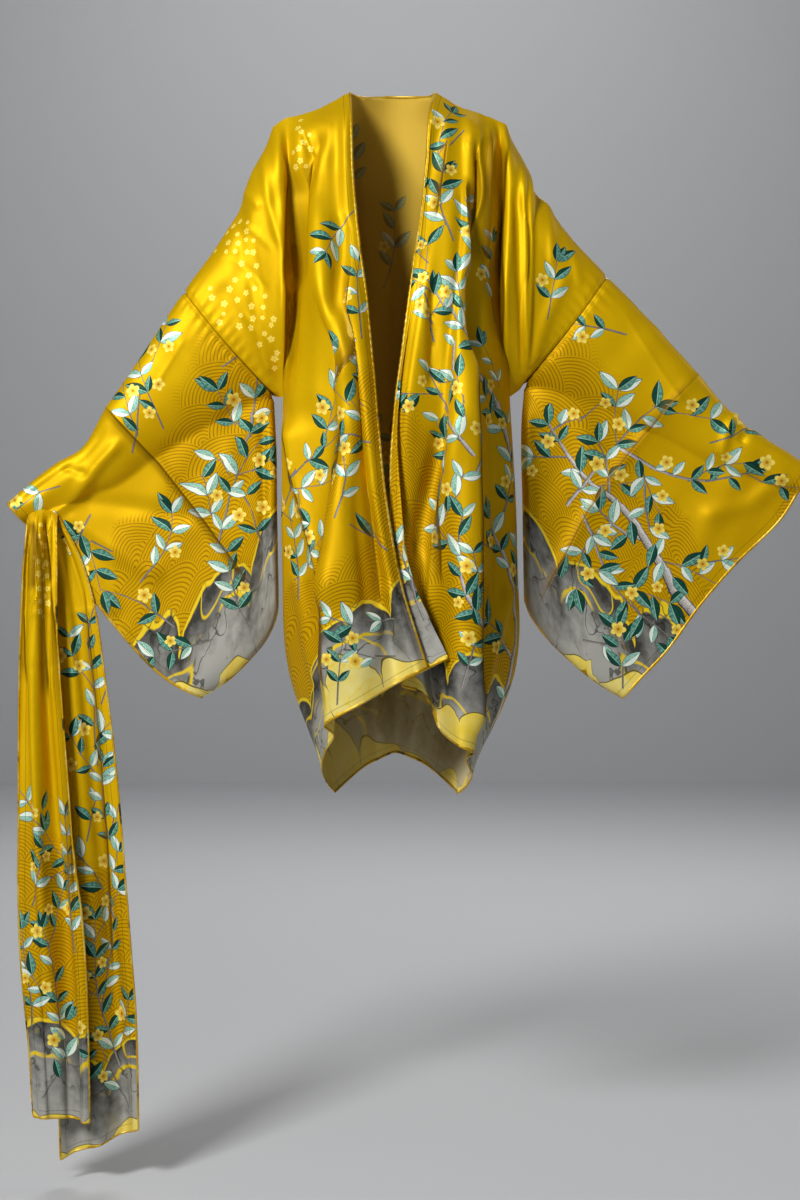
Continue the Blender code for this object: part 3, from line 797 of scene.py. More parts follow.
@dataclass
class Printer:
    """Lays sprays of leaves and blossoms on a layer of cloth; the same seed gives the same print."""

    layer: Layer
    seed: int
    rng: np.random.Generator = field(init=False)

    def __post_init__(self) -> None:
        """Starts the run of small differences between motifs."""
        self.rng = np.random.default_rng(self.seed)

    def lay(self, sprays: Sequence[Spray], plums: Sequence[tuple] = ()) -> None:
        """Prints the sprays in order, then the clusters of plum blossom (x, z, count, spread).

        Args:
            sprays: the twigs.
            plums: the clusters.
        """
        for spray in sprays:
            row, column = self.layer.nearest(spray.x, spray.z)
            self.walk(row, column, math.radians(spray.heading), spray, True)
        for plum in plums:
            self.plum_cluster(*plum)

    def leaf(self, row: float, column: float, heading: float, size: float, pale: bool) -> None:
        """Prints a leaf with its foot at a place of the grid."""
        code = Motif.MINT_LEAF.value if pale else Motif.TEAL_LEAF.value
        self.layer.stamp(LEAF_LAYERS, row, column, heading, size, code, LEAF_REACH)

    def blossom(self, place: tuple, sizes: tuple, kind: Motif = Motif.BLOSSOM) -> None:
        """Prints a blossom of a size between the two given, if its place is on the cloth.

        Args:
            place: (row, column) of its middle.
            sizes: least and greatest radius, in mm.
            kind: which blossom it is.
        """
        if self.layer.inside(*place):
            size = self.rng.uniform(*sizes)
            turn = self.rng.uniform(0, 2 * math.pi)
            self.layer.stamp(BLOSSOM_LAYERS, *place, turn, size, kind.value, BLOSSOM_REACH)

    def walk(self, row: float, column: float, heading: float, spray: Spray, main: bool) -> None:
        """Prints one twig step by step, with a leaf on each hand, and side twigs and blossoms between.

        Args:
            row: grid row of its foot.
            column: grid column of its foot.
            heading: angle of its first step.
            spray: its length, bend, thickness and load.
            main: whether side twigs may leave it.
        """
        for number in range(spray.steps):
            if not self.layer.inside(row, column):
                return
            thick = spray.thick * (1.0 - TAPER * number / spray.steps)
            bare = thick > BARE_BOUGH
            width = max(thick, LEAST_TWIG) / TWIG_STEP
            foot = BOUGH_FOOT if number == 0 and bare else TWIG_FOOT
            here = (TWIG_LAYERS[number % 2],)
            names = here if main else (SIDE_TWIG_LAYER,) + here
            reach = (foot, TWIG_END, max(width * 2.0, LEAST_REACH))
            self.layer.stamp(names, row, column, heading, TWIG_STEP, width, reach)
            across, down = TWIG_STEP * math.cos(heading), -TWIG_STEP * math.sin(heading)
            ahead = self.layer.step(row, column, across, down)
            if not self.layer.inside(*ahead):
                return
            for hand in (1, -1):
                if self.rng.uniform() < (BARE_LEAF_CHANCE if bare else LEAF_CHANCE):
                    size = spray.leaf * self.rng.uniform(*LEAF_SIZES)
                    turn = heading + hand * self.rng.uniform(*LEAF_TURNS)
                    self.leaf(*ahead, turn, size, self.rng.uniform() < PALE_CHANCE)
            if number % 3 == 1 and spray.blossoms > 0 and not bare:
                self.cluster(ahead, heading, spray.blossoms)
            if main and number % 3 == 0 and spray.steps > 4 and (number > 0 or not bare):
                hand = 1 if number % 2 else -1
                side_thick = max(0.5 * thick, LEAST_SIDE_TWIG)
                side = spray._replace(steps=SIDE_STEPS, thick=side_thick, bend=-hand * SIDE_BEND)
                self.walk(*ahead, heading + hand * self.rng.uniform(*SIDE_TURNS), side, False)
            row, column = ahead
            sway = BOUGH_SWAY if bare else TWIG_SWAY
            heading += math.radians(spray.bend) + self.rng.uniform(-sway, sway)
        for turn in TIP_TURNS:
            self.leaf(row, column, heading + turn, spray.leaf * self.rng.uniform(*TIP_SIZES), turn > 0)

    def cluster(self, place: tuple, heading: float, count: int) -> None:
        """Prints blossoms beside a twig, on either hand in turn.

        Args:
            place: (row, column) on the twig.
            heading: angle of the twig.
            count: how many blossoms.
        """
        for number in range(count):
            hand = 1 if number % 2 == 0 else -1
            turn = heading + hand * self.rng.uniform(*BLOSSOM_TURNS)
            far = self.rng.uniform(*BLOSSOM_AWAY)
            spot = self.layer.step(*place, far * math.cos(turn), -far * math.sin(turn))
            self.blossom(spot, BLOSSOM_SIZES)

    def plum_cluster(self, x: float, z: float, count: int, spread: float) -> None:
        """Scatters small plum blossoms round a place, in an upright oval spiral.

        Args:
            x: middle of the cluster, in mm.
            z: its height, in mm.
            count: how many blossoms.
            spread: radius of the cluster, in mm.
        """
        start = self.layer.nearest(x, z)
        if not self.layer.inside(*start):
            return
        for number in range(count):
            turn = number * PLUM_TURN
            far = spread * math.sqrt((number + 0.5) / count)
            place = self.layer.step(
                *start, far * PLUM_WIDE * math.cos(turn), far * PLUM_TALL * math.sin(turn)
            )
            self.blossom(place, PLUM_SIZES, Motif.PLUM)


class Shade:
    """A number in a material: Python's operators on it add Math nodes."""

    def __init__(self, book: "NodeBook", source: Union[float, Socket]) -> None:
        """Wraps an output socket or a constant."""
        self.book = book
        self.source = source

    def _join(self, operation: str, *others: "Number", clamp: bool = False) -> "Shade":
        """The Math node of that operation on this value and the others."""
        settings = {"operation": operation, "use_clamp": clamp}
        node = self.book.node("ShaderNodeMath", settings, (self, *others))
        return Shade(self.book, node.outputs[0])

    def __add__(self, other: "Number") -> "Shade":
        """Sum."""
        return self._join("ADD", other)

    __radd__ = __add__

    def __sub__(self, other: "Number") -> "Shade":
        """Difference."""
        return self._join("SUBTRACT", other)

    def __rsub__(self, other: float) -> "Shade":
        """Difference from a plain number."""
        return Shade(self.book, other) - self

    def __mul__(self, other: "Number") -> "Shade":
        """Product."""
        return self._join("MULTIPLY", other)

    __rmul__ = __mul__

    def __truediv__(self, other: "Number") -> "Shade":
        """Quotient."""
        return self._join("DIVIDE", other)

    def __rtruediv__(self, other: float) -> "Shade":
        """Quotient of a plain number by this."""
        return Shade(self.book, other) / self

    def __pow__(self, other: "Number") -> "Shade":
        """Power."""
        return self._join("POWER", other)

    def __abs__(self) -> "Shade":
        """Size without sign."""
        return self._join("ABSOLUTE")

    def __lt__(self, other: "Number") -> "Shade":
        """1 where this is less."""
        return self._join("LESS_THAN", other)

    def __gt__(self, other: "Number") -> "Shade":
        """1 where this is greater."""
        return self._join("GREATER_THAN", other)

    def most(self, other: "Number") -> "Shade":
        """The greater of the two."""
        return self._join("MAXIMUM", other)

    def floor(self) -> "Shade":
        """Whole part."""
        return self._join("FLOOR")

    def part(self) -> "Shade":
        """Fractional part."""
        return self._join("FRACT")

    def sine(self) -> "Shade":
        """Sine."""
        return self._join("SINE")

    def cosine(self) -> "Shade":
        """Cosine."""
        return self._join("COSINE")

    def angle_to(self, other: "Shade") -> "Shade":
        """Angle of the point whose height is this and whose run is the other."""
        return self._join("ARCTAN2", other)

    def clamped(self) -> "Shade":
        """This value between 0 and 1."""
        return self._join("ADD", 0.0, clamp=True)

    def ramp(self, low: float, high: float) -> "Shade":
        """0 at low, 1 at high, straight between and clamped."""
        return ((self - low) / (high - low)).clamped()

    def near(self, centre: float, half: float, soft: float) -> "Shade":
        """A line: 1 within half of the centre, fading to 0 over the soft margin inside it."""
        return (half - abs(self - centre)).ramp(0.0, soft)


Number = Union[Shade, float]
Colour = Union[tuple, Socket]


class NodeBook:
    """A material's nodes, added one way."""

    def __init__(self, name: str) -> None:
        """Makes an empty material with its output.

        Args:
            name: the material's name.
        """
        self.material = bpy.data.materials.new(name)
        self.material.use_nodes = True
        self.tree = self.material.node_tree
        self.tree.nodes.clear()
        self.output = self.tree.nodes.new("ShaderNodeOutputMaterial")

    def node(self, kind: str, settings: Optional[dict] = None,
             inputs: Union[Sequence, dict, None] = None) -> bpy.types.Node:
        """Adds a node.

        Args:
            kind: the node's type.
            settings: its properties, set first.
            inputs: values, sockets or shades, by place or by name.

        Returns:
            The node.
        """
        made = self.tree.nodes.new(kind)
        for name, value in (settings or {}).items():
            setattr(made, name, value)
        pairs = inputs.items() if isinstance(inputs, dict) else enumerate(inputs or ())
        for key, value in pairs:
            self.feed(made.inputs[key], value)
        return made

    def feed(self, socket: Socket, value: Union[Shade, Colour, float]) -> None:
        """Links or sets one input.

        Args:
            socket: the input.
            value: a shade, another node's socket or a constant.
        """
        value = value.source if isinstance(value, Shade) else value
        if isinstance(value, Socket):
            self.tree.links.new(value, socket)
        else:
            socket.default_value = value

    def attribute(self, name: str) -> tuple:
        """The three coordinates of a vector attribute.

        Args:
            name: the attribute's name.

        Returns:
            Its x, y and z.
        """
        source = self.node("ShaderNodeAttribute", {"attribute_name": name})
        split = self.node("ShaderNodeSeparateXYZ", {}, (source.outputs["Vector"],))
        return tuple(Shade(self, split.outputs[i]) for i in range(3))

    def object_place(self) -> Socket:
        """Object coordinates."""
        return self.node("ShaderNodeTexCoord").outputs["Object"]

    def mix(self, share: Number, first: Colour, second: Colour) -> Colour:
        """The first colour turning into the second as the share goes from 0 to 1."""
        made = self.node("ShaderNodeMix", {"data_type": "RGBA"}, {0: share, 6: first, 7: second})
        return made.outputs[2]

    def noise(self, vector: Colour, scale: float, detail: float = 2.0, rough: float = 0.5) -> Shade:
        """A noise around 0.5.

        Args:
            vector: where it is read.
            scale: its fineness.
            detail: its octaves.
            rough: how strong the finer ones are.

        Returns:
            The noise.
        """
        inputs = {"Vector": vector, "Scale": scale, "Detail": detail, "Roughness": rough}
        made = self.node("ShaderNodeTexNoise", {"noise_dimensions": "3D"}, inputs)
        return Shade(self, made.outputs[0])

    def place(self, x: Shade, y: Shade, z: Number = 0.0) -> Socket:
        """A vector from three numbers."""
        return self.node("ShaderNodeCombineXYZ", {}, (x, y, z)).outputs[0]

    def bump(self, height: Shade, strength: float, distance: float,
             under: Optional[Socket] = None) -> Socket:
        """The normal of a relief, laid over the normal of another if one is given.

        Args:
            height: the relief.
            strength: share of it.
            distance: its depth, in metres.
            under: normal below it.

        Returns:
            The normal.
        """
        inputs = {"Strength": strength, "Distance": distance, "Height": height}
        if under is not None:
            inputs["Normal"] = under
        return self.node("ShaderNodeBump", {}, inputs).outputs[0]

    def close(self, inputs: dict) -> Material:
        """Adds the shader with these inputs, joins it to the output and gives the material.

        Args:
            inputs: the shader's inputs by name.

        Returns:
            The material.
        """
        shader = self.node("ShaderNodeBsdfPrincipled", {}, inputs)
        self.feed(self.output.inputs["Surface"], shader.outputs[0])
        return self.material


def rgb(red: float, green: float, blue: float) -> tuple:
    """A colour with full alpha."""
    return (red, green, blue, 1.0)


class Spot(NamedTuple):
    """A place of the flat cloth, in metres, with the two noises that the whole print shares."""

    right: Shade
    up: Shade
    hem: Shade
    vector: Socket
    broad: Shade
    fine: Shade


@dataclass(frozen=True)
class PrintedSatin:
    """Golden silk satin with its print, and the paler reverse of the same cloth."""

    name: str
    reverse: bool = False
    ground: tuple = rgb(0.66, 0.41, 0.0)
    ground_deep: tuple = rgb(0.52, 0.28, 0.0)
    wave_line: tuple = rgb(0.26, 0.10, 0.0)
    mist: tuple = rgb(0.045, 0.046, 0.046)
    mist_pale: tuple = rgb(0.40, 0.40, 0.37)
    cloud: tuple = rgb(0.86, 0.62, 0.02)
    cloud_pale: tuple = rgb(0.86, 0.80, 0.36)
    teal: tuple = rgb(0.001, 0.042, 0.032)
    teal_light: tuple = rgb(0.008, 0.20, 0.15)
    mint: tuple = rgb(0.40, 0.72, 0.60)
    mint_white: tuple = rgb(0.94, 1.0, 0.90)
    outline: tuple = rgb(0.002, 0.010, 0.008)
    petal: tuple = rgb(0.92, 0.74, 0.14)
    petal_edge: tuple = rgb(0.72, 0.44, 0.01)
    heart: tuple = rgb(0.50, 0.20, 0.01)
    plum: tuple = rgb(0.95, 0.74, 0.12)
    bark: tuple = rgb(0.10, 0.085, 0.08)
    bark_pale: tuple = rgb(0.72, 0.69, 0.66)
    back_tint: tuple = rgb(0.62, 0.46, 0.12)
    # Colour of the shade painted along the sharp folds and seams.
    fold_shade: tuple = rgb(0.13, 0.06, 0.0)
    glint: tuple = rgb(1.0, 0.80, 0.30)
    roughness: float = 0.55
    reverse_roughness: float = 0.73
    metal: float = 0.38
    reverse_metal: float = 0.05
    ring_radius: float = 0.056
    rings: float = 12.0
    wave_top: float = 0.40
    mist_top: float = 0.090
    cloud_top: float = 0.008
    rim: float = 0.004
    thread_from_edge: float = 0.0095

    def waves(self, right: Shade, up: Shade) -> Shade:
        """Overlapping fans of rings: 1 on a ring's line. The nearest fan below a place covers it.

        Args:
            right: run across the cloth, in metres.
            up: run up from the hem.

        Returns:
            1 on a line and 0 beside it.
        """
        across, height = right / self.ring_radius, up / self.ring_radius
        lowest = ((height - 1.0) * 2.0).floor() + 1.0
        covered: Optional[Shade] = None
        for number in (2, 1, 0):
            row = lowest + float(number)
            odd = (row * 0.5).part() * 2.0
            side = (((across - odd) * 0.5 + 0.5).part() - 0.5) * 2.0
            rise = height - row * 0.5
            distance = (side * side + rise * rise) ** 0.5
            covered = distance if covered is None else covered + (distance < 1.0) * (distance - covered)
        return (covered * self.rings).part().near(0.5, 0.22, 0.10)

    def leaf(self, book: NodeBook, base: Colour, name: str) -> Colour:
        """A pointed leaf with a midrib and side veins; its half width is 0.86 x (1 - x)(1.25 - x / 2).

        Args:
            book: the material's nodes.
            base: colour under it.
            name: attribute that holds the leaves.

        Returns:
            The colour.
        """
        x, y, code = book.attribute(name)
        half = x * (1.0 - x) * (1.25 - 0.5 * x) * 0.86
        away = abs(y)
        inside = (half - away).ramp(0.0, 0.010) * ((code > LEAF_CODE) * (code < BLOSSOM_CODE))
        pale = code > PALE_CODE
        vein = (x * 9.0 - away * 16.0).part().near(0.5, 0.10, 0.05) * 0.55
        upper = (y + 0.012).ramp(0.0, 0.02)
        blot = book.noise(book.place(x * 3.0, y * 9.0, code), 3.0)
        tip = (blot * 3.4 - 1.35 + x * 0.35).clamped()
        dark = book.mix((upper * 0.7 + blot * 0.5 - 0.15).clamped(), self.teal, self.teal_light)
        dark = book.mix(tip * upper * 0.55, dark, self.mint)
        light = book.mix((upper * 0.7 + blot * 0.7 - 0.25).clamped(), self.mint, self.mint_white)
        light = book.mix((1.0 - tip) * (1.0 - upper) * 0.6, light, self.teal_light)
        body = book.mix(pale, dark, light)
        body = book.mix(vein, body, book.mix(pale, self.outline, self.teal))
        body = book.mix(y.near(0.0, 0.011, 0.006) * 0.85, body, book.mix(pale, self.mint, self.teal))
        body = book.mix((0.030 - (half - away)).ramp(0.0, 0.012) * 0.92, body, self.outline)
        return book.mix(inside, base, body)

    def blossom(self, book: NodeBook, base: Colour, name: str) -> Colour:
        """Five round petals about a heart; the rim is at 0.58 + 0.36 |cos(5/2 of the angle)|.

        Args:
            book: the material's nodes.
            base: colour under it.
            name: attribute that holds the blossoms.

        Returns:
            The colour.
        """
        x, y, code = book.attribute(name)
        far = (x * x + y * y) ** 0.5
        angle = y.angle_to(x)
        rim = abs((angle * 2.5).cosine()) * 0.36 + 0.58
        small = code > PLUM_CODE
        tone = book.mix(far.ramp(0.10, 0.60), self.petal_edge, self.petal)
        ray = (abs((angle * 7.5).cosine()) - 0.80).ramp(0.0, 0.15) * (0.55 - far).ramp(0.0, 0.1)
        tone = book.mix(ray * 0.6, tone, self.heart)
        tone = book.mix((0.20 - far).ramp(0.0, 0.05), tone, self.heart)
        tone = book.mix((0.10 - (rim - far)).ramp(0.0, 0.05) * 0.7, tone, self.petal_edge)
        tone = book.mix(small * 0.85, tone, self.plum)
        tone = book.mix(small * (0.22 - far).ramp(0.0, 0.08) * 0.7, tone, self.petal_edge)
        return book.mix((rim - far).ramp(0.0, 0.05) * (code > BLOSSOM_CODE), base, tone)

    def twig(self, book: NodeBook, base: Colour, name: str) -> Colour:
        """A stretch of twig as wide as its third coordinate says, lit along one side.

        Args:
            book: the material's nodes.
            base: colour under it.
            name: attribute that holds the twigs.

        Returns:
            The colour.
        """
        x, y, width = book.attribute(name)
        swell = book.noise(book.place(x * 4.0, y, width), 2.5)
        inside = (width * (0.8 + swell * 0.5) - abs(y)).ramp(0.0, 0.012) * (width > 0.001)
        across = y / width.most(0.004)
        streak = book.noise(book.place(x * 6.0, across * 2.0, width), 3.0, 4.0)
        thick = (width - 0.05).ramp(0.0, 0.06)
        lit = (across * 0.5 + 0.62 + (streak - 0.5) * 1.9).clamped() * (0.25 + thick * 0.75)
        tone = book.mix(lit, self.bark, self.bark_pale)
        tone = book.mix((abs(across) - 0.72).ramp(0.0, 0.15) * 0.8, tone, self.outline)
        return book.mix(inside, base, tone)

    def golden(self, book: NodeBook, spot: Spot) -> Colour:
        """The ground, mottled, with patches of waves on its lower part and all along the hem.

        Args:
            book: the material's nodes.
            spot: the place on the cloth.

        Returns:
            The colour.
        """
        colour = book.mix((spot.broad - 0.35).ramp(0.0, 0.5) * 0.5, self.ground, self.ground_deep)
        drift = (book.noise(spot.vector, 5.0, 2.0) - 0.5) * 0.30
        lower = (self.wave_top - spot.hem + drift).ramp(0.0, 0.06)
        patch = (book.noise(spot.vector, 4.2, 1.0) - 0.46).ramp(0.0, 0.03)
        waved = lower * patch.most((self.wave_top / 2 - spot.hem).ramp(0.0, 0.02))
        colour = book.mix(waved * self.waves(spot.right, spot.up) * 0.9, colour, self.wave_line)
        return book.mix(lower * 0.30, colour, self.ground_deep)

    def misted(self, book: NodeBook, spot: Spot, colour: Colour, crack: Shade) -> Colour:
        """Grey mist on the cloth's foot under a lobed golden rim, with streaks and gleams of gold in it.

        Args:
            book: the material's nodes.
            spot: the place on the cloth.
            colour: what lies under the mist.
            crack: fine dark lines.

        Returns:
            The colour.
        """
        lobes = abs((spot.right * 26.0 + spot.broad * 2.0).sine())
        edge = lobes**0.6 * 0.040 + (spot.broad - 0.5) * 0.10 + self.mist_top
        depth = edge - spot.hem
        wash = (depth / 0.09 + (spot.fine - 0.5) * 1.1 + (spot.broad - 0.5) * 1.6).clamped()
        grey = book.mix(wash, self.mist, self.mist_pale)
        grey = book.mix(depth.near(self.rim, self.rim, 0.002), grey, self.cloud)
        streak = (edge * 0.62 + (spot.fine - 0.5) * 0.01 - spot.hem).near(0.0, 0.0035, 0.002)
        grey = book.mix(streak * (spot.broad - 0.45).ramp(0.0, 0.1), grey, self.cloud)
        grey = book.mix(crack * 0.7, grey, self.outline)
        gleam = book.noise(spot.vector, 7.0, 2.0).near(0.56, 0.011, 0.007)
        grey = book.mix(gleam * 0.85, grey, self.cloud)
        return book.mix(depth.ramp(0.0, 0.0015) * (spot.hem > 0.0001), colour, grey)

    def clouded(self, book: NodeBook, spot: Spot, colour: Colour, crack: Shade) -> Colour:
        """Pale yellow clouds on the very hem, in front of the mist, with a dark line round them.

        Args:
            book: the material's nodes.
            spot: the place on the cloth.
            colour: what lies under the clouds.
            crack: fine lines.

        Returns:
            The colour.
        """
        lobes = abs((spot.right * 41.0 + 1.3 + spot.broad * 3.0).sine())
        swell = (book.noise(spot.vector, 6.5, 1.0) - 0.52) * 0.26
        depth = lobes**0.6 * 0.030 + swell + self.cloud_top - spot.hem
        wash = (spot.broad * 2.0 - 0.6 + (spot.fine - 0.5) * 0.6).clamped()
        cream = book.mix(wash, self.cloud, self.cloud_pale)
        cream = book.mix(crack * 0.6, cream, self.cloud)
        cream = book.mix(depth.near(0.0018, 0.0018, 0.001) * 0.85, cream, self.outline)
        return book.mix(depth.ramp(0.0, 0.0015) * (spot.hem > 0.0001), colour, cream)

    def build(self) -> Material:
        """Makes the material: ground, mist and clouds, then the motifs, the hem's stitches, painted shade
        along the sharp folds and seams, and the folds' relief.

        Returns:
            The material.
        """
        book = NodeBook(self.name)
        right, up, hem = book.attribute("flat")
        vector = book.place(right, up)
        broad, fine = book.noise(vector, 9.0, 3.0), book.noise(vector, 60.0, 4.0, 0.6)
        spot = Spot(right, up, hem, vector, broad, fine)
        crack = book.noise(vector, 15.0, 3.0).near(0.5, 0.010, 0.006) * (spot.broad - 0.42).ramp(0.0, 0.08)
        colour = self.golden(book, spot)
        colour = self.misted(book, spot, colour, crack)
        colour = self.clouded(book, spot, colour, crack)
        for draw, names in (
            (self.twig, (SIDE_TWIG_LAYER,) + TWIG_LAYERS),
            (self.leaf, LEAF_LAYERS),
            (self.blossom, BLOSSOM_LAYERS[::-1]),
        ):
            for name in names:
                colour = draw(book, colour, name)
        edge, fold, sharp = book.attribute("stitch_and_fold_shade")
        thread = edge.near(self.thread_from_edge, 0.0005, 0.0003)
        # Painted shade: a dark line on each sharp fold and seam, and a dark gradient about 13 mm wide on its
        # narrow side, for the shadow in the fold.
        painted_crease_shadow = fold.near(-0.0008, 0.0022, 0.0022) * sharp
        turned = (fold + 0.013).ramp(0.0, 0.012) * (fold < 0.0004) * sharp
        colour = book.mix(thread * 0.55, colour, self.outline)
        colour = book.mix(painted_crease_shadow * 0.72, colour, self.fold_shade)
        colour = book.mix(turned * 0.66, colour, self.fold_shade)
        if self.reverse:
            colour = book.mix(0.45, colour, self.back_tint)
        weave = book.noise(book.place(right * 1.0, up * 0.12), 2600.0, 1.0)
        soft = book.noise(vector, 55.0, 2.0)
        cloth_bump = book.bump(weave * 0.12 + soft * 0.9 - thread * 2.0, 0.12, 0.0006)
        fading = (1.0 - fold.ramp(0.0008, 0.016)) ** 2.5
        ridge = (fold + 0.0022).ramp(0.0, 0.0030) * fading * sharp
        roughness = self.reverse_roughness if self.reverse else self.roughness
        return book.close({
            "Base Color": colour,
            "Roughness": spot.fine * 0.06 + (roughness - 0.03),
            "Metallic": self.reverse_metal if self.reverse else self.metal,
            "Specular IOR Level": 0.28,
            "Specular Tint": self.glint,
            "Normal": book.bump(ridge, 0.8, 0.0014, cloth_bump),
        })


@dataclass(frozen=True)
class HemSatin:
    """The rolled edge: the same satin turned over, with light and dark stretches of the print."""

    name: str
    gold: tuple = rgb(0.58, 0.34, 0.0)
    pale: tuple = rgb(0.70, 0.50, 0.08)
    dark: tuple = rgb(0.05, 0.035, 0.008)

    def build(self) -> Material:
        """Makes the material on Object coordinates.

        Returns:
            The material.
        """
        book = NodeBook(self.name)
        place = book.object_place()
        patch = book.noise(place, 26.0, 3.0)
        colour = book.mix((patch - 0.50).ramp(0.0, 0.12), self.gold, self.pale)
        colour = book.mix((0.40 - patch).ramp(0.0, 0.08), colour, self.dark)
        stitches = book.bump(book.noise(place, 420.0, 1.0), 0.25, 0.0006)
        return book.close({"Base Color": colour, "Roughness": 0.45, "Metallic": 0.5, "Normal": stitches})


@dataclass(frozen=True)
class StudioFloor:
    """A plain pale floor."""

    name: str
    tone: tuple = rgb(0.50, 0.51, 0.53)
    mottle: tuple = rgb(0.42, 0.43, 0.45)

    def build(self) -> Material:
        """Makes a matt material with a very slight mottle.

        Returns:
            The material.
        """
        book = NodeBook(self.name)
        share = book.noise(book.object_place(), 3.0, 3.0) * 0.10
        return book.close({"Base Color": book.mix(share, self.tone, self.mottle), "Roughness": 0.8})


class Shell:
    """Gathers layers of cloth and makes one closed thin shell of them."""

    def __init__(self) -> None:
        """Starts with no cloth."""
        self.points = np.zeros((0, 3))
        self.normals = np.zeros((0, 3))
        self.flat = np.zeros((0, 3))
        self.stitch_and_fold_shade = np.zeros((0, 3))
        self.quads = np.zeros((0, 4), int)
        self.prints: dict = {name: np.zeros((0, 4, 3), np.float32) for name in PRINT_LAYERS}

    def add(self, layer: Layer, flat: Array, stitch_and_fold_shade: Array, mirrored: bool = False) -> None:
        """Adds a layer.

        Args:
            layer: the cloth.
            flat: (row, column, 3) run across, run up and distance from the hem, in metres.
            stitch_and_fold_shade: (row, column, 3) distance from the nearest hemmed edge, signed distance from the nearest
                sharp fold, both in metres, and the fold's strength.
            mirrored: whether its columns run to the viewer's left.
        """
        valid, cells = layer.valid, layer.cells
        index = np.full(valid.shape, -1)
        index[valid] = np.arange(valid.sum()) + len(self.points)
        quads = np.stack([index[:-1, :-1], index[1:, :-1], index[1:, 1:], index[:-1, 1:]], axis=-1)[cells]
        order = slice(None, None, -1 if mirrored != (layer.side is Side.BACK) else 1)
        sign = -1.0 if mirrored else 1.0
        self.quads = np.concatenate([self.quads, quads[:, order]])
        self.points = np.concatenate([self.points, layer.points[valid]])
        self.normals = np.concatenate([self.normals, sign * layer.normals[valid]])
        self.flat = np.concatenate([self.flat, flat[valid]])
        self.stitch_and_fold_shade = np.concatenate([self.stitch_and_fold_shade, stitch_and_fold_shade[valid]])
        for name in PRINT_LAYERS:
            stamped = layer.prints.get(name)
            corners = np.zeros((len(quads), 4, 3), np.float32) if stamped is None else stamped[cells]
            self.prints[name] = np.concatenate([self.prints[name], corners[:, order]])

    def weld(self) -> None:
        """Makes one point of those within a hundredth of a millimetre, adding up their normals."""
        keys = np.round(self.points, 2)
        _, first, index = np.unique(keys, axis=0, return_index=True, return_inverse=True)
        index = index.reshape(-1)
        normals = np.zeros((len(first), 3))
        np.add.at(normals, index, self.normals)
        self.normals = unit(normals)
        self.points, self.flat, self.stitch_and_fold_shade = self.points[first], self.flat[first], self.stitch_and_fold_shade[first]
        self.quads = index[self.quads]

    def rim(self) -> Array:
        """The edges of one face only, in that face's direction.

        Returns:
            (edge, 2) numbers of the points.
        """
        ends = np.concatenate([self.quads[:, [i, (i + 1) % 4]] for i in range(4)])
        keys = np.sort(ends, axis=1)
        _, index, count = np.unique(keys, axis=0, return_inverse=True, return_counts=True)
        return ends[count[index.reshape(-1)] == 1]

    def area(self) -> float:
        """Area of one side of the cloth, in square metres.

        Returns:
            The area.
        """
        corner = self.points[self.quads]
        cross = np.cross(corner[:, 2] - corner[:, 0], corner[:, 3] - corner[:, 1])
        return float(np.linalg.norm(cross, axis=1).sum() / 2) * MM * MM

    def build(self, name: str, face: Material, reverse: Material) -> bpy.types.Object:
        """Makes the object: outer faces, inner faces and the rim between them.

        Args:
            name: the piece's name.
            face: material of the printed side.
            reverse: material of the inner side.

        Returns:
            The piece.
        """
        self.weld()
        rim, count = self.rim(), len(self.points)
        walls = [self.points + half * self.normals for half in (SHELL / 2, -SHELL / 2)]
        edge = np.stack([rim[:, 1], rim[:, 0], rim[:, 0] + count, rim[:, 1] + count], axis=1)
        faces = np.concatenate([self.quads, self.quads[:, ::-1] + count, edge])
        mesh = bpy.data.meshes.new(name)
        mesh.from_pydata((np.concatenate(walls) * MM).tolist(), [], faces.tolist())
        store_vectors(mesh, "flat", "POINT", np.tile(self.flat, (2, 1)))
        store_vectors(mesh, "stitch_and_fold_shade", "POINT", np.tile(self.stitch_and_fold_shade, (2, 1)))
        bare = np.zeros((len(edge), 4, 3), np.float32)
        for layer, corners in self.prints.items():
            store_vectors(mesh, layer, "CORNER", np.concatenate([corners, corners[:, ::-1], bare]))
        mesh.materials.append(face)
        mesh.materials.append(reverse)
        slots = np.zeros(len(faces), np.int32)
        slots[len(self.quads) : 2 * len(self.quads)] = 1
        mesh.polygons.foreach_set("material_index", slots)
        mesh.shade_smooth()
        mesh.set_sharp_from_angle(angle=math.radians(SHARP_ANGLE))
        mesh.update()
        return placed(name, mesh)


def mesh_volume(mesh: bpy.types.Mesh) -> float:
    """Signed volume of a closed mesh, a sum of the tetrahedra to the origin.

    Args:
        mesh: a closed mesh.

    Returns:
        The volume, in cubic metres.
    """
    mesh.calc_loop_triangles()
    points = np.empty(len(mesh.vertices) * 3)
    mesh.vertices.foreach_get("co", points)
    corners = np.empty(len(mesh.loop_triangles) * 3, np.int32)
    mesh.loop_triangles.foreach_get("vertices", corners)
    triangle = points.reshape(-1, 3)[corners.reshape(-1, 3)]
    return float(np.linalg.det(triangle).sum() / 6)


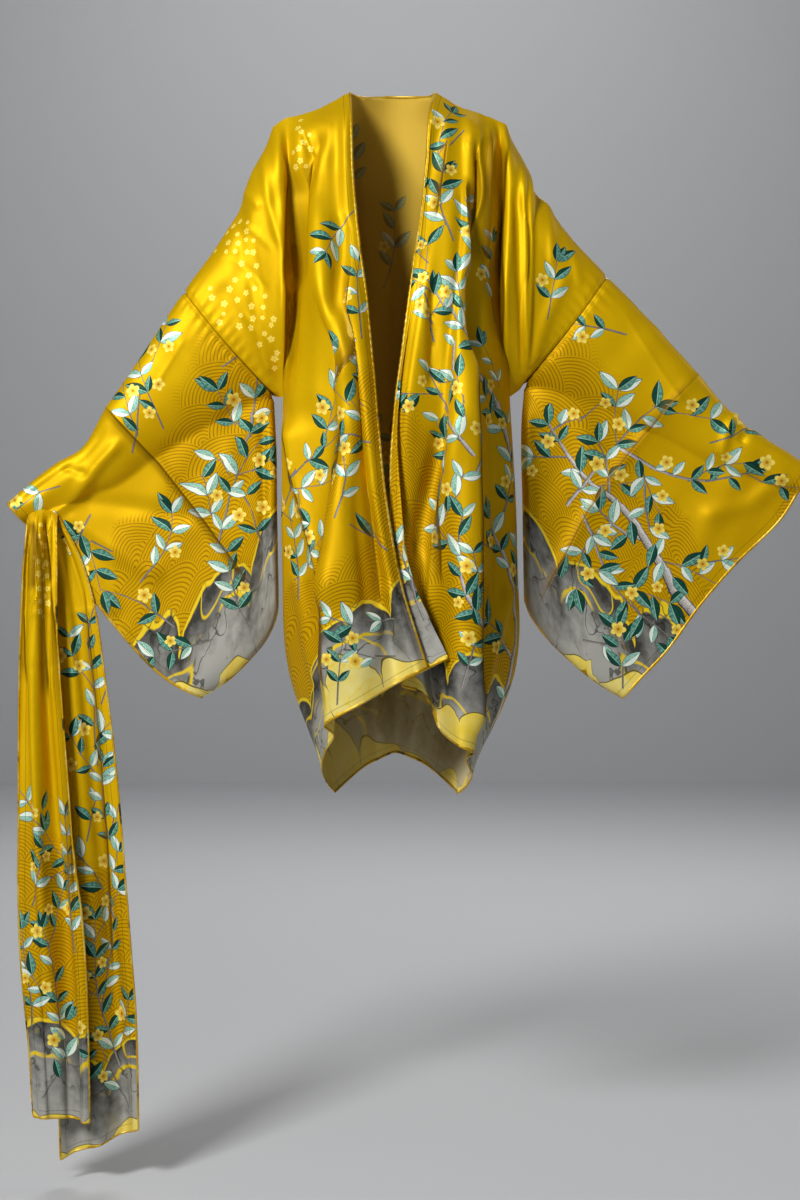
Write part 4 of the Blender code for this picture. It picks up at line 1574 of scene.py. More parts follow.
@dataclass
class RolledHem:
    """A narrow rolled edge: an ellipse carried along the cloth's edge, a little uneven as sewn cloth is."""

    name: str
    path: Array
    out: Array
    closed: bool = False
    half_width: float = 1.9
    half_height: float = 0.95
    spacing: float = 3.2
    pucker: float = 9.0
    width_pucker: float = 0.10
    height_pucker: float = 0.22
    lift: float = 0.25
    sway: float = 1.3
    sway_run: float = 23.0
    sides: int = 8

    def sections(self) -> Array:
        """Points (section, side, xyz): centre + w cos(a) across + h sin(a) out; w and h wave along the run.

        Returns:
            The points, in mm.
        """
        steps = np.linalg.norm(np.diff(self.path, axis=0), axis=1)
        run = np.concatenate([[0.0], np.cumsum(steps)])
        count = max(int(run[-1] / self.spacing), 8)
        at = np.linspace(0.0, run[-1], count, endpoint=not self.closed)
        centre, out = (
            np.stack([np.interp(at, run, line[:, i]) for i in range(3)], axis=1)
            for line in (self.path, self.out)
        )
        out = unit(out)
        ahead = np.roll(centre, -1, axis=0) - np.roll(centre, 1, axis=0)
        tangent = unit(ahead if self.closed else np.gradient(centre, axis=0))
        across = unit(np.cross(out, tangent))
        wave = np.sin(2 * math.pi * at / self.pucker + self.sway * np.sin(at / self.sway_run))
        width = self.half_width * (1 + self.width_pucker * wave)
        height = self.half_height * (1 + self.height_pucker * wave)
        angle = np.linspace(0, 2 * math.pi, self.sides, endpoint=False)
        return (
            centre[:, None]
            + (width[:, None] * np.cos(angle))[..., None] * across[:, None]
            + (height[:, None] * np.sin(angle))[..., None] * out[:, None]
            + self.lift * wave[:, None, None] * out[:, None]
        )

    def build(self, material: Material) -> bpy.types.Object:
        """Joins the sections into a tube, with a cap at each end unless it closes on itself.

        Args:
            material: the edge's finish.

        Returns:
            The piece.
        """
        section = self.sections()
        count = len(section)
        rows = np.arange(count if self.closed else count - 1)[:, None]
        start, following = rows * self.sides, (rows + 1) % count * self.sides
        here, there = np.arange(self.sides)[None], (np.arange(self.sides)[None] + 1) % self.sides
        faces = np.stack([start + here, start + there, following + there, following + here], axis=-1)
        faces = faces.reshape(-1, 4).tolist()
        if not self.closed:
            faces.append(list(range(self.sides))[::-1])
            faces.append(list(range((count - 1) * self.sides, count * self.sides)))
        mesh = bpy.data.meshes.new(self.name)
        mesh.from_pydata((section.reshape(-1, 3) * MM).tolist(), [], faces)
        mesh.materials.append(material)
        mesh.shade_smooth()
        mesh.update()
        if mesh_volume(mesh) < 0:
            mesh.flip_normals()
        return placed(self.name, mesh)


@dataclass
class Finishes:
    """The materials that the pieces share."""

    face: Material
    reverse: Material
    hem: Material


@dataclass
class ClothPiece:
    """A cut piece of the robe: its cut size, its creases, its print and the frame's node that it stands for.
    """

    name: str
    node: str
    flat_cut: tuple
    creases: tuple = ()
    sprays: tuple = ()
    plums: tuple = ()
    seed: int = 7

    def finish(self, shell: Shell, finishes: Finishes, hems: Sequence[RolledHem]) -> bpy.types.Object:
        """Builds the shell and its hems, hangs them on the body and hides the frame's part.

        Args:
            shell: the gathered cloth.
            finishes: the shared materials.
            hems: the rolled edges on it.

        Returns:
            The piece.
        """
        piece = shell.build(self.name, finishes.face, finishes.reverse)
        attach(piece, BODY)
        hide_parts(self.node)
        trims = [hem.build(finishes.hem) for hem in hems]
        for trim in trims:
            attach(trim, BODY)
        LOG.info("%s: %d points, %.3f m2 of cloth, cut %s",
                 self.name, len(shell.points), shell.area(), self.flat_cut)
        return piece


def softened(grid: Array, column: int, rows: int, reach: float = 7.0, passes: int = 14) -> Array:
    """Rounds the kink that runs down a column by averaging each point with its two neighbours.

    Args:
        grid: points (row, column, xyz).
        column: where the kink is.
        rows: how many rows it runs down; its two ends stay as they are.
        reach: columns on either hand that move.
        passes: how often the mean is taken.

    Returns:
        The grid with the kink rounded.
    """
    grid = grid.copy()
    share = smooth(1.0 - np.abs(np.arange(grid.shape[1]) - column) / reach)
    level = np.arange(rows)
    ends = smooth(np.minimum(level, rows - 1 - level) / 8.0)
    weight = 0.5 * ends[:, None, None] * share[None, :, None]
    for _ in range(passes):
        part = grid[:rows]
        mean = part.copy()
        mean[:, 1:-1] = 0.5 * (part[:, 2:] + part[:, :-2])
        grid[:rows] = part + weight * (mean - part)
    return grid


def upper_rows(count: int) -> Array:
    """Shares of the way to the underarm, closer together over the shoulder."""
    return np.linspace(0.0, 1.0, count) ** 1.25


def line_points(top: Sequence[float], across: Array, depths: Array, hem: float) -> list:
    """Points of one line of the body's net, from the shoulder down to the hem.

    The second point rounds the cloth over the shoulder. Heights are at the knots, above the underarm
    between the shoulder and that level, and below it between that level and the hem.

    Args:
        top: the line's start on the shoulder.
        across: x at the five levels and the hem.
        depths: y there.
        hem: height of the hem.

    Returns:
        The points, one for each knot.
    """
    x, y, z = top
    heights = [z + knot * (PIT_LEVEL - z) for knot in UPPER_KNOTS]
    heights += [PIT_LEVEL + knot * (hem - PIT_LEVEL) for knot in LOWER_KNOTS[1:]]
    return list(
        zip(
            (x, x + SHOULDER_SPREAD * (across[0] - x), *across),
            (y, y + SHOULDER_FULLNESS * (depths[0] - y), *depths),
            heights,
        )
    )


def seam_curve(arm: ArmPart, down: Array, side: Side) -> Array:
    """The sleeve seam on one side, from the ridge to the underarm.

    Args:
        arm: the arm in the sleeve.
        down: shares from the ridge to the underarm.
        side: which layer.

    Returns:
        A point for each share.
    """
    top, pit = np.array(arm.seam_top, float), np.array(arm.pit, float)
    line = top + down[:, None] * (pit - top)
    normal = np.array([-(pit - top)[1], (pit - top)[0]]) / np.linalg.norm(pit - top)
    outwards = normal * np.sign(normal[0]) * np.sign(top[0])
    line = line + arm.seam_bow * np.sin(np.pi * down)[:, None] * outwards
    return lift(line, side.value * arm.depth * tube_share(down))


def arm_patch(arm: ArmPart, crest: Array, down: Array, across: Array, side: Side) -> Array:
    """The body's arm part, from the crest line of the torso out to the sleeve seam.

    Args:
        arm: the arm under the cloth.
        crest: points of the torso's edge.
        down: shares of its rows.
        across: shares of its columns.
        side: which layer.

    Returns:
        Points (row, column, xyz).
    """
    top = lift(along(arm.ridge, across))
    top[0] = crest[0]
    bottom = crest[-1] + across[:, None] * (lift(np.array(arm.pit, float)) - crest[-1])
    return coons(top, bottom, crest, seam_curve(arm, down, side), down, across)


# The sleeve seam's pucker, in mm.
SEAM_PUCKER = 1.3
SEAM_PERIOD = 13.0
SEAM_SINK = 2.8
SEAM_HALF_WIDTH = 3.2


def seam_pucker(run_along: Array, away: Array) -> Array:
    """Heights beside a seam: sunk on it and rippled along it, dying away within 20 mm.

    Args:
        run_along: run down the seam, in mm.
        away: distance from it, in mm.

    Returns:
        The heights, in mm.
    """
    sink = -SEAM_SINK * np.exp(-((away / SEAM_HALF_WIDTH) ** 2))
    turn = 2 * math.pi * run_along / SEAM_PERIOD + 1.1 * np.sin(run_along / 17.0)
    return sink + SEAM_PUCKER * np.sin(turn) * np.exp(-away / 11.0) * (1 - np.exp(-away / 3.0))


# Creases: points (x, z), width, height and section. Waves: height, periods and phase.
FRONT_RIGHT_CREASES = (
    Crease(((-52, -225), (-56, -300), (-63, -453), (-77, -644), (-82, -821)), 22, 15.0, Profile.STEP),
    Crease(((-92, -46), (-108, -88), (-122, -135), (-125, -200), (-125, -270)), 13, -15.0),
    Crease(((-98, -140), (-93, -230), (-92, -340), (-95, -440)), 16, 6.0),
    Crease(((-64, -170), (-65, -230), (-74, -310)), 12, -8.0),
    Crease(((-143, -396), (-141, -310), (-138, -230), (-139, -119), (-147, -66)), 14, 2.5, Profile.STEP),
    Crease(((-126, -100), (-126, -220), (-129, -330), (-134, -390)), 7, -7.0),
    Crease(((-170, -73), (-161, -150), (-143, -214)), 6, 3.5),
    Crease(((-195, -128), (-172, -158)), 5, 2.5),
    Crease(((-200, -150), (-198, -228)), 7, -2.0),
    Crease(((-185, -240), (-160, -380)), 9, 3.0),
    Crease(((-225, -250), (-170, -385)), 12, -2.5),
    Crease(((-136, -425), (-123, -505), (-108, -560), (-84, -640), (-76, -680)), 20, 15.0, Profile.STEP),
    Crease(((-128, -620), (-112, -700), (-96, -780)), 8, 6.0),
    Crease(((-60, -440), (-48, -560), (-30, -700)), 9, -5.5),
    Crease(((-118, -55), (-113, -95)), 3.5, -3.5),
    Crease(((0, -640), (-20, -700), (-30, -760)), 8, 3.5),
    Crease(((-112, -92), (-116, -140), (-116, -196)), 6, 2.5, Profile.STEP),
    Crease(((-206, -170), (-178, -190), (-152, -214)), 4, 1.3),
    Crease(((-222, -214), (-190, -236), (-160, -268)), 5, -1.4),
    Crease(((-196, -290), (-176, -322), (-162, -372)), 5, 1.4),
    Crease(((-34, -500), (-26, -590), (-14, -680)), 8, 2.2, Profile.STEP),
)
FRONT_LEFT_CREASES = (
    Crease(((102, -858), (102, -700), (101, -569), (97, -400), (98, -300)), 15, 13.0, Profile.STEP),
    Crease(((112, -60), (111, -130), (108, -215), (106, -290), (103, -370)), 9, -19.0),
    Crease(((125, -46), (124, -100), (122, -170), (120, -240)), 9, 8.0, Profile.STEP),
    Crease(((98, -260), (98, -190), (97, -120)), 10, 8.0, Profile.STEP),
    Crease(((152, -52), (150, -110), (147, -180), (145, -230), (146, -330), (152, -388)), 12, 2.5,
           Profile.STEP),
    Crease(((52, -260), (52, -330), (49, -410)), 7, -9.0),
    Crease(((64, -40), (52, -90), (42, -150), (36, -230)), 9, -4.0),
    Crease(((76, -130), (72, -220), (68, -320)), 12, 6.0),
    Crease(((168, -90), (171, -180), (171, -300), (172, -370)), 3.5, 5.0),
    Crease(((178, -100), (180, -200), (175, -370)), 3.5, 4.0),
    Crease(((160, -120), (163, -250), (170, -372)), 5, -3.0),
    Crease(((92, -76), (119, -90)), 3, 1.8),
    Crease(((66, -440), (56, -490), (39, -560), (24, -620)), 11, -11.0),
    Crease(((84, -420), (70, -520), (50, -620), (46, -700)), 9, 8.0),
    Crease(((88, -420), (92, -560), (96, -700)), 8, 2.5),
    Crease(((154, -640), (128, -720), (110, -790), (102, -840)), 8, 9.5),
    Crease(((128, -400), (132, -500), (138, -600), (134, -700)), 9, -8.0),
    Crease(((230, -235), (200, -300), (178, -370)), 9, 3.0),
    Crease(((200, -130), (206, -170), (207, -236)), 5, 2.0),
    Crease(((222, -180), (238, -222), (243, -262)), 6, 1.8),
    Crease(((72, -62), (66, -110), (56, -180)), 7, 2.2, Profile.STEP),
    Crease(((70, -470), (66, -560), (64, -650)), 8, 2.4, Profile.STEP),
)
BACK_CREASES = (
    Crease(((-60, -60), (-52, -200), (-64, -420)), 10, 3.5),
    Crease(((40, -90), (54, -260), (48, -520)), 11, 3.0),
    Crease(((-20, -160), (-8, -400), (-26, -700)), 14, -3.5),
    Crease(((88, -240), (100, -420), (86, -640)), 9, -3.0),
    Crease(((-100, -260), (-112, -450), (-104, -700)), 9, 3.5),
    Crease(((-185, -200), (-166, -300), (-158, -385)), 7, 4.0),
    Crease(((196, -170), (180, -280), (174, -370)), 6, 4.5),
    Crease(((-220, -230), (-180, -330)), 8, -3.0),
    Crease(((232, -220), (190, -330)), 9, -3.0),
    Crease(((20, -560), (12, -700), (24, -860)), 12, 4.0),
    Crease(((-70, -600), (-62, -760), (-50, -880)), 11, -3.5),
)
RIGHT_SLEEVE_CREASES = (
    Crease(((-384, -404), (-345, -446), (-306, -488), (-248, -562), (-194, -636), (-174, -661)), 22, 4.5,
           Profile.STEP),
    Crease(((-271, -326), (-310, -388)), 3, 1.4, Profile.PRESSED),
    Crease(((-351, -455), (-383, -488), (-416, -529), (-441, -550), (-478, -566)), 8, 6.0),
    Crease(((-372, -440), (-405, -478), (-452, -512), (-492, -540)), 7, -3.0),
    Crease(((-433, -492), (-398, -504)), 5, -3.0),
    Crease(((-440, -548), (-380, -590), (-300, -640)), 14, 4.0),
    Crease(((-452, -560), (-410, -620), (-360, -690)), 12, 3.0),
    Crease(((-420, -535), (-340, -545), (-250, -560)), 12, -3.0),
    Crease(((-162, -410), (-160, -520), (-158, -650)), 5, 4.0),
    Crease(((-172, -420), (-170, -540), (-172, -650)), 5, -3.0),
    Crease(((-300, -300), (-240, -400), (-200, -520)), 16, 2.5),
)
LEFT_SLEEVE_CREASES = (
    Crease(((409, -362), (358, -416), (300, -488), (257, -550), (234, -594), (211, -636), (187, -682)),
           24, 5.0, Profile.STEP),
    Crease(((452, -420), (436, -446), (428, -480)), 6, 5.0),
    Crease(((470, -436), (452, -462)), 5, -4.0),
    Crease(((300, -290), (352, -372), (400, -440)), 4, 1.2, Profile.PRESSED),
    Crease(((210, -330), (250, -430), (262, -540)), 18, 3.0),
    Crease(((480, -470), (420, -560), (380, -650)), 18, 3.0),
    Crease(((520, -500), (470, -540), (400, -560)), 12, 3.5),
    Crease(((178, -410), (180, -540), (182, -640)), 6, 3.0),
)
SLEEVE_BACK_CREASES = (
    Crease(((290, -330), (240, -450), (215, -600)), 16, 4.0),
    Crease(((400, -400), (340, -500), (300, -640)), 14, -3.0),
    Crease(((450, -450), (420, -560), (360, -680)), 14, 4.0),
    Crease(((230, -330), (200, -430), (190, -560)), 10, -3.0),
    Crease(((380, -440), (440, -480), (500, -500)), 9, 3.0),
)
BODY_WAVES = ((0.35, 84.0, 900.0, 0.4), (0.15, 47.0, -520.0, 1.9), (0.3, 210.0, 136.0, 0.7))
SLEEVE_WAVES = ((0.6, 140.0, 190.0, 0.3), (0.35, -90.0, 150.0, 1.1), (0.2, 84.0, -110.0, 2.2))
BACK_WAVE_SHARE = 1.6
MIRROR_RIGHT = 20
MIRROR_DOWN = 10


@dataclass
class Torso(ClothPiece):
    """What the fronts and the back share: a torso grid with cloth over the arms beside it."""

    upper_count: int = 64
    lower_count: int = 90
    arm_cells: int = 46

    def net(self, lines: Sequence[list], places: Sequence[float], shares: Array) -> Array:
        """The torso's grid: smooth curves down the lines, and then smooth curves across them.

        Args:
            lines: each line's points.
            places: where each line lies across the cloth.
            shares: where the columns lie, by the same measure.

        Returns:
            Points (row, column, xyz).
        """
        knots = np.concatenate([UPPER_KNOTS, 1.0 + LOWER_SCALE * np.array(LOWER_KNOTS[1:])])
        lower = np.linspace(0, 1, self.lower_count + 1)[1:]
        at = np.concatenate([upper_rows(self.upper_count), 1.0 + LOWER_SCALE * lower])
        rows = spline(knots, np.swapaxes(np.array(lines, float), 0, 1), at)
        return np.swapaxes(spline(places, np.swapaxes(rows, 0, 1), shares), 0, 1)

    def over_arm(self, arm: ArmPart, torso: Array, column: int, side: Side) -> Array:
        """The cloth from a column of the torso, above the underarm, out to the sleeve seam."""
        across = np.linspace(0, 1, self.arm_cells + 1)
        return arm_patch(arm, torso[: self.upper_count, column], upper_rows(self.upper_count), across, side)

    def join(self, torso: Array, outer: Array, other: Optional[Array] = None) -> Array:
        """One grid of the torso and its arm parts; below the underarm the arm columns are missing.

        Args:
            torso: the torso's grid.
            outer: grid of the arm after its last column.
            other: grid of the arm before its first.

        Returns:
            Points (row, column, xyz).
        """
        count = self.upper_count
        width = torso.shape[1]
        before = 0 if other is None else other.shape[1] - 1
        whole = np.full((torso.shape[0], before + width + outer.shape[1] - 1, 3), np.nan)
        whole[:, before : before + width] = torso
        whole[:count, before + width :] = outer[:, 1:]
        if other is not None:
            whole[:count, :before] = other[:, :0:-1]
        return whole

    def side_column(self, seam: int) -> int:
        """The column of the side seam that lies in from a sleeve seam's column."""
        return abs(seam - self.arm_cells)

    def relief(self, layer: Layer, seams: Sequence[int], wave_share: float = 1.0) -> Array:
        """Raises creases, slight waves and the pucker of the sleeve seams.

        Creases and waves die away towards the shoulder, the sleeve seams and the side seams.

        Args:
            layer: the cloth, which is moved.
            seams: columns of its sleeve seams.
            wave_share: strength of the waves.

        Returns:
            Distance of each point from its sleeve seam, and a large number below the underarm.
        """
        heights = crease_heights(layer.points, self.creases) + wave_share * ripple(layer.points, BODY_WAVES)
        away = np.min([layer.run_from(seam) for seam in seams], axis=0)
        away = np.where(layer.valid[:, seams[0], None], away, FAR)
        heights = heights * smooth(layer.column_run / TOP_EASE) * smooth(away / SEAM_EASE)
        columns = np.arange(layer.valid.shape[1])
        own_seam = np.array(seams)[np.argmin([np.abs(columns - seam) for seam in seams], axis=0)]
        pucker = seam_pucker(layer.column_run[:, own_seam], away)
        heights = heights + np.where(away < SEAM_REACH, pucker, 0.0)
        to_side = np.min([layer.run_from(self.side_column(seam)) for seam in seams], axis=0)
        below = np.arange(len(heights))[:, None] >= self.upper_count - 1
        heights = np.where(below, heights * smooth(to_side / SIDE_EASE), heights)
        layer.displace(np.nan_to_num(heights))
        return away

    def flat_map(self, layer: Layer, origin: int) -> Array:
        """Run across from the origin column, run up from the hem and distance from it, in metres.

        The arm columns, which end at the underarm, are kept far from the hem.

        Args:
            layer: the cloth.
            origin: column that the run across starts from.

        Returns:
            (row, column, 3) in metres.
        """
        run = layer.row_run - layer.row_run[:, origin : origin + 1]
        hem = layer.column_run[-1:] - layer.column_run
        hem[:, ~layer.valid[-1]] += FAR / 2
        return np.stack([run, hem, hem], axis=-1) * MM


@dataclass
class Front(Torso):
    """One front with the cloth over its arm."""

    lines: tuple = ()
    arm: ArmPart = RIGHT_ARM
    cells_per_fold: int = 9

    def torso(self) -> Array:
        """The torso's grid, from the fold lines; its first row lies on the shoulder line.

        Returns:
            Points (row, column, xyz).
        """
        last = len(self.lines) - 1
        lines = [line_points((row.x0, 0.0, row.z0), row.across, row.depths, row.z6) for row in self.lines]
        shares = np.linspace(0, last, self.cells_per_fold * last + 1)
        grid = self.net(lines, np.arange(last + 1, dtype=float), shares)
        grid[0, :, 1] = 0.0
        return grid

    def make(self, finishes: Finishes) -> Array:
        """Builds the front.

        Args:
            finishes: the shared materials.

        Returns:
            The points of its side seam, from the underarm down.
        """
        torso = self.torso()
        outer = self.over_arm(self.arm, torso, -1, Side.FRONT)
        whole = softened(self.join(torso, outer), torso.shape[1] - 1, self.upper_count)
        inner, seam = 0, whole.shape[1] - 1
        if self.arm.pit[0] < 0:
            whole = whole[:, ::-1]
            inner, seam = seam, inner
        layer = Layer(whole, Side.FRONT)
        from_seam = self.relief(layer, (seam,))
        Printer(layer, self.seed).lay(self.sprays, self.plums)
        flat = self.flat_map(layer, inner)
        edge = np.minimum(np.abs(flat[..., 0]), flat[..., 2])
        shell = Shell()
        shell.add(layer, flat, with_folds(edge, whole, self.creases, from_seam))
        self.finish(shell, finishes, [self.hem(layer, inner, self.side_column(seam))])
        return torso[self.upper_count - 1 :, -1]

    def hem(self, layer: Layer, inner: int, side: int) -> RolledHem:
        """The rolled edge down the front and along the bottom as far as the side seam.

        Args:
            layer: the cloth.
            inner: column of the front edge.
            side: column of the side seam.

        Returns:
            The rolled edge.
        """
        order = slice(inner, side, -1 if inner > side else 1)
        path = np.concatenate([layer.points[:, inner], layer.points[-1, order][1:]])
        out = np.concatenate([layer.normals[:, inner], layer.normals[-1, order][1:]])
        return RolledHem("hem_" + self.name, path, out)


@dataclass
class Back(Torso):
    """The back, between the side seams that the fronts give, with cloth over both arms."""

    columns: int = 120

    def shoulder_height(self, x: Array) -> Array:
        """Height of the shoulder line at x, from the fronts' tables.

        Args:
            x: places across, in mm.

        Returns:
            Their heights.
        """
        right = sorted((-line.x0, line.z0) for line in FRONT_RIGHT_LINES)
        left = sorted((line.x0, line.z0) for line in FRONT_LEFT_LINES)
        on_right, on_left = (np.interp(at, *zip(*rows)) for at, rows in ((-x, right), (x, left)))
        return np.where(x < 0, on_right, on_left)

    def upper_edge(self, x: Array) -> Array:
        """The upper edge: both shoulder lines and, between the neck points, the round of the neck.

        Args:
            x: places across, in mm.

        Returns:
            (..., 3) points.
        """
        inside = np.clip(1.0 - (x / NECK_HALF) ** 2, 0.0, 1.0)
        on_shoulder = np.abs(x) >= NECK_HALF
        height = np.where(on_shoulder, self.shoulder_height(x), NECK_RISE + inside * BACK_NECK_RISE)
        return np.stack([x, BACK_NECK_DEPTH * np.sqrt(inside), height], axis=-1)

    def torso(self) -> Array:
        """The torso's grid: lines at shares of the width, between the side lines of the fronts.

        Returns:
            Points (row, column, xyz).
        """
        first, last = FRONT_RIGHT_LINES[-1], FRONT_LEFT_LINES[-1]
        sides = ((0.0, first), (1.0, last))
        crests = [BackLine(share, *BACK_CREST_DEPTHS, *edge.depths[2:]) for share, edge in sides]
        rows = [crests[0], *BACK_LINES, crests[1]]
        lines = []
        for row in rows:
            top = self.upper_edge(np.array(first.x0 + row.share * (last.x0 - first.x0)))
            across = first.across + row.share * (last.across - first.across)
            hem = BACK_HEM_MIDDLE - BACK_HEM_SIDE_DROP * abs(2 * row.share - 1) ** BACK_HEM_CURVE
            lines.append(line_points(top, across, row[1:], hem))
        shares = np.linspace(0, 1, self.columns + 1)
        grid = self.net(lines, [row.share for row in rows], shares)
        grid[0] = self.upper_edge(first.x0 + shares * (last.x0 - first.x0))
        return grid

    def make(self, finishes: Finishes, right_side: Array, left_side: Array) -> None:
        """Builds the back between the fronts' side seams.

        Args:
            finishes: the shared materials.
            right_side: side seam of the right front.
            left_side: side seam of the left front.
        """
        torso = self.torso()
        torso[self.upper_count - 1 :, 0] = right_side
        torso[self.upper_count - 1 :, -1] = left_side
        left_arm = self.over_arm(LEFT_ARM, torso, -1, Side.BACK)
        right_arm = self.over_arm(RIGHT_ARM, torso, 0, Side.BACK)
        whole = self.join(torso, left_arm, right_arm)
        layer = Layer(whole, Side.BACK)
        seams = (0, whole.shape[1] - 1)
        from_seam = self.relief(layer, seams, BACK_WAVE_SHARE)
        Printer(layer, self.seed).lay(self.sprays)
        flat = self.flat_map(layer, whole.shape[1] // 2)
        shell = Shell()
        shell.add(layer, flat, with_folds(flat[..., 2], whole, self.creases, from_seam))
        self.finish(shell, finishes, self.hems(layer, seams))

    def hems(self, layer: Layer, seams: Sequence[int]) -> list:
        """The rolled edges along the bottom and round the neck.

        Args:
            layer: the cloth.
            seams: columns of its sleeve seams.

        Returns:
            Both rolled edges.
        """
        first, last = (self.side_column(seam) for seam in seams)
        bottom = slice(first, last + 1)
        around = np.abs(layer.points[0, :, 1]) > ON_SHOULDER
        return [
            RolledHem("hem_back", layer.points[-1, bottom], layer.normals[-1, bottom]),
            RolledHem("hem_neck", layer.points[0, around], layer.normals[0, around]),
        ]


@dataclass
class SleevePiece(ClothPiece):
    """A sleeve: two layers that are one along the ridge, the bottom fold and the inner edge."""

    arm: ArmPart = RIGHT_ARM
    cut: SleeveCut = RIGHT_SLEEVE
    back_sprays: tuple = ()
    upper_count: int = 64
    lower_count: int = 62
    cells: int = 86

    @property
    def mirrored(self) -> bool:
        """Whether its columns run to the viewer's left."""
        return self.arm.pit[0] < 0

    def depth(self, down: Array, out: Array) -> Array:
        """Half the thickness: the arm's tube by the ridge and a flat bag below, joined by a fourth power.

        Args:
            down: shares from the ridge to the bottom fold.
            out: shares from the seam to the cuff.

        Returns:
            Half the thickness, in mm.
        """
        wrist = ARMHOLE_SHARE + (WRIST_SHARE - ARMHOLE_SHARE) * out**WRIST_EASE
        tube = (self.arm.depth + (self.cut.pinch_depth - self.arm.depth) * out) * tube_share(down / wrist)
        bag = BAG_DEPTH * rounded(out, BAG_END) * rounded(1.0 - down, BAG_BOTTOM) * rounded(down, BAG_TOP)
        return (tube**4 + bag**4) ** 0.25

    def grid(self, side: Side) -> Array:
        """One layer as points (down, out, xyz).

        Args:
            side: which layer.

        Returns:
            The points.
        """
        at = upper_rows(self.upper_count)
        lower = np.linspace(0, 1, self.lower_count + 1)[1:]
        down = np.concatenate([ARMHOLE_SHARE * at, ARMHOLE_SHARE + (1 - ARMHOLE_SHARE) * lower])
        out = np.linspace(0, 1, self.cells + 1)
        seam = seam_curve(self.arm, at, side)
        run = np.array(self.arm.pit, float) - np.array(self.arm.seam_top, float)
        away = np.array([run[1], 0.0, -run[0]]) / np.linalg.norm(run)
        away = away * np.sign(away[0]) * np.sign(self.arm.pit[0])
        seam = seam + PIT_EASE * at[:, None] ** PIT_EASE_POWER * away
        inner = along((seam[-1, [0, 2]],) + self.cut.inner[1:], lower)
        patch = coons(
            lift(along(self.cut.ridge, out)),
            lift(along(self.cut.hem_fold, out)),
            lift(np.concatenate([seam[:, [0, 2]], inner])),
            lift(along(self.cut.cuff, down)),
            down,
            out,
        )
        patch[:, :, 1] = side.value * self.depth(down[:, None], out[None, :])
        patch[: len(seam), 0] = seam
        return patch

    def relief(self, layer: Layer, creases: Sequence[Crease], upper: Array) -> None:
        """Raises creases, waves and the seam's pucker; all die away at the ridge and the bottom fold.

        Args:
            layer: the cloth, which is moved.
            creases: the creases on it.
            upper: (row, 1) true for the rows that the sleeve seam reaches.
        """
        down, from_seam = layer.column_run, layer.row_run
        from_fold = np.minimum(down, down[-1:] - down)
        heights = crease_heights(layer.points, creases) + ripple(layer.points, SLEEVE_WAVES)
        heights = heights * smooth(from_fold / BOTTOM_EASE) * smooth(from_seam / SEAM_EASE)
        pucker = np.where(upper & (from_seam < SEAM_REACH), seam_pucker(down[:, :1], from_seam), 0.0)
        heights = heights + pucker * smooth(from_fold / PUCKER_EASE)
        layer.displace(-heights if self.mirrored else heights)

    def make(self, finishes: Finishes) -> None:
        """Builds both layers, their print and the cuff's hem.

        Args:
            finishes: the shared materials.
        """
        shell = Shell()
        cuffs = []
        for side in (Side.FRONT, Side.BACK):
            grid = self.grid(side)
            layer = Layer(grid, side)
            total = layer.column_run[-1:]
            front = side is Side.FRONT
            creases = self.creases if front else self.hidden_creases()
            upper = np.arange(len(grid))[:, None] < self.upper_count
            self.relief(layer, creases, upper)
            Printer(layer, self.seed + side.value).lay(self.sprays if front else self.back_sprays)
            hem = total - layer.column_run
            flat = np.stack([layer.row_run, hem, hem], axis=-1) * MM
            stitch_and_fold_shade = with_folds(layer.run_from(-1) * MM, grid, creases, np.where(upper, layer.row_run, FAR))
            shell.add(layer, flat, stitch_and_fold_shade, self.mirrored)
            sign = -1.0 if self.mirrored else 1.0
            cuffs.append((layer.points[:, -1], sign * layer.normals[:, -1]))
        path, out = (np.concatenate([front, back[-2:0:-1], front[:1]]) for front, back in zip(*cuffs))
        self.finish(shell, finishes, [RolledHem("hem_" + self.name, path, out, closed=True)])

    def hidden_creases(self) -> tuple:
        """The creases of the hidden layer, on the side of the body that this sleeve is on.

        Returns:
            The creases.
        """
        if not self.mirrored:
            return SLEEVE_BACK_CREASES
        return tuple(
            crease._replace(points=tuple((MIRROR_RIGHT - x, z - MIRROR_DOWN) for x, z in crease.points))
            for crease in SLEEVE_BACK_CREASES
        )


class Fall(NamedTuple):
    """A fall of the sash: x of both edges at each level, and the pleats between them."""

    levels: tuple
    left: tuple
    right: tuple
    hem_left: float
    hem_right: float
    lean: float
    pleats: float
    swing: float
    phase: float


# The sash's two falls, how they open out from the fold on top, and their gathers and pleats.
FRONT_FALL = Fall(
    levels=(-554, -600, -668, -765, -935, -1129, -1262, -1342),
    left=(-476, -481, -484, -487, -488, -484, -470, -464),
    right=(-440, -437, -435, -432, -418, -399, -395, -395),
    hem_left=-1338.0,
    hem_right=-1344.0,
    lean=22.0,
    pleats=1.4,
    swing=10.0,
    phase=0.35,
)
BACK_FALL = Fall(
    levels=(-554, -600, -668, -765, -935, -1129, -1262, -1385),
    left=(-476, -470, -464, -457, -451, -445, -441, -438),
    right=(-440, -416, -394, -379, -359, -342, -334, -331),
    hem_left=-1399.0,
    hem_right=-1359.0,
    lean=3.0,
    pleats=1.7,
    swing=7.0,
    phase=0.1,
)
SASH_TOP_RISE = 6.0
SASH_BIGHT = 0.02
SASH_TOP = FRONT_FALL.levels[0]
FAN_LENGTH = 160.0
FAN_HEIGHT = 4.6
FAN_PLEATS = 2.3
FAN_PHASE = 0.6
FAN_COVERS = 0.6
PLEAT_HEIGHT = 5.2
PLEATS = 2.1
PLEAT_DRIFT = 260.0
PLEAT_SWAY = 0.5
TOP_SWING = 0.35
SASH_EASE = 30.0
CROSS_SLOPE = 6
CROSS_WIDTH = 4.0
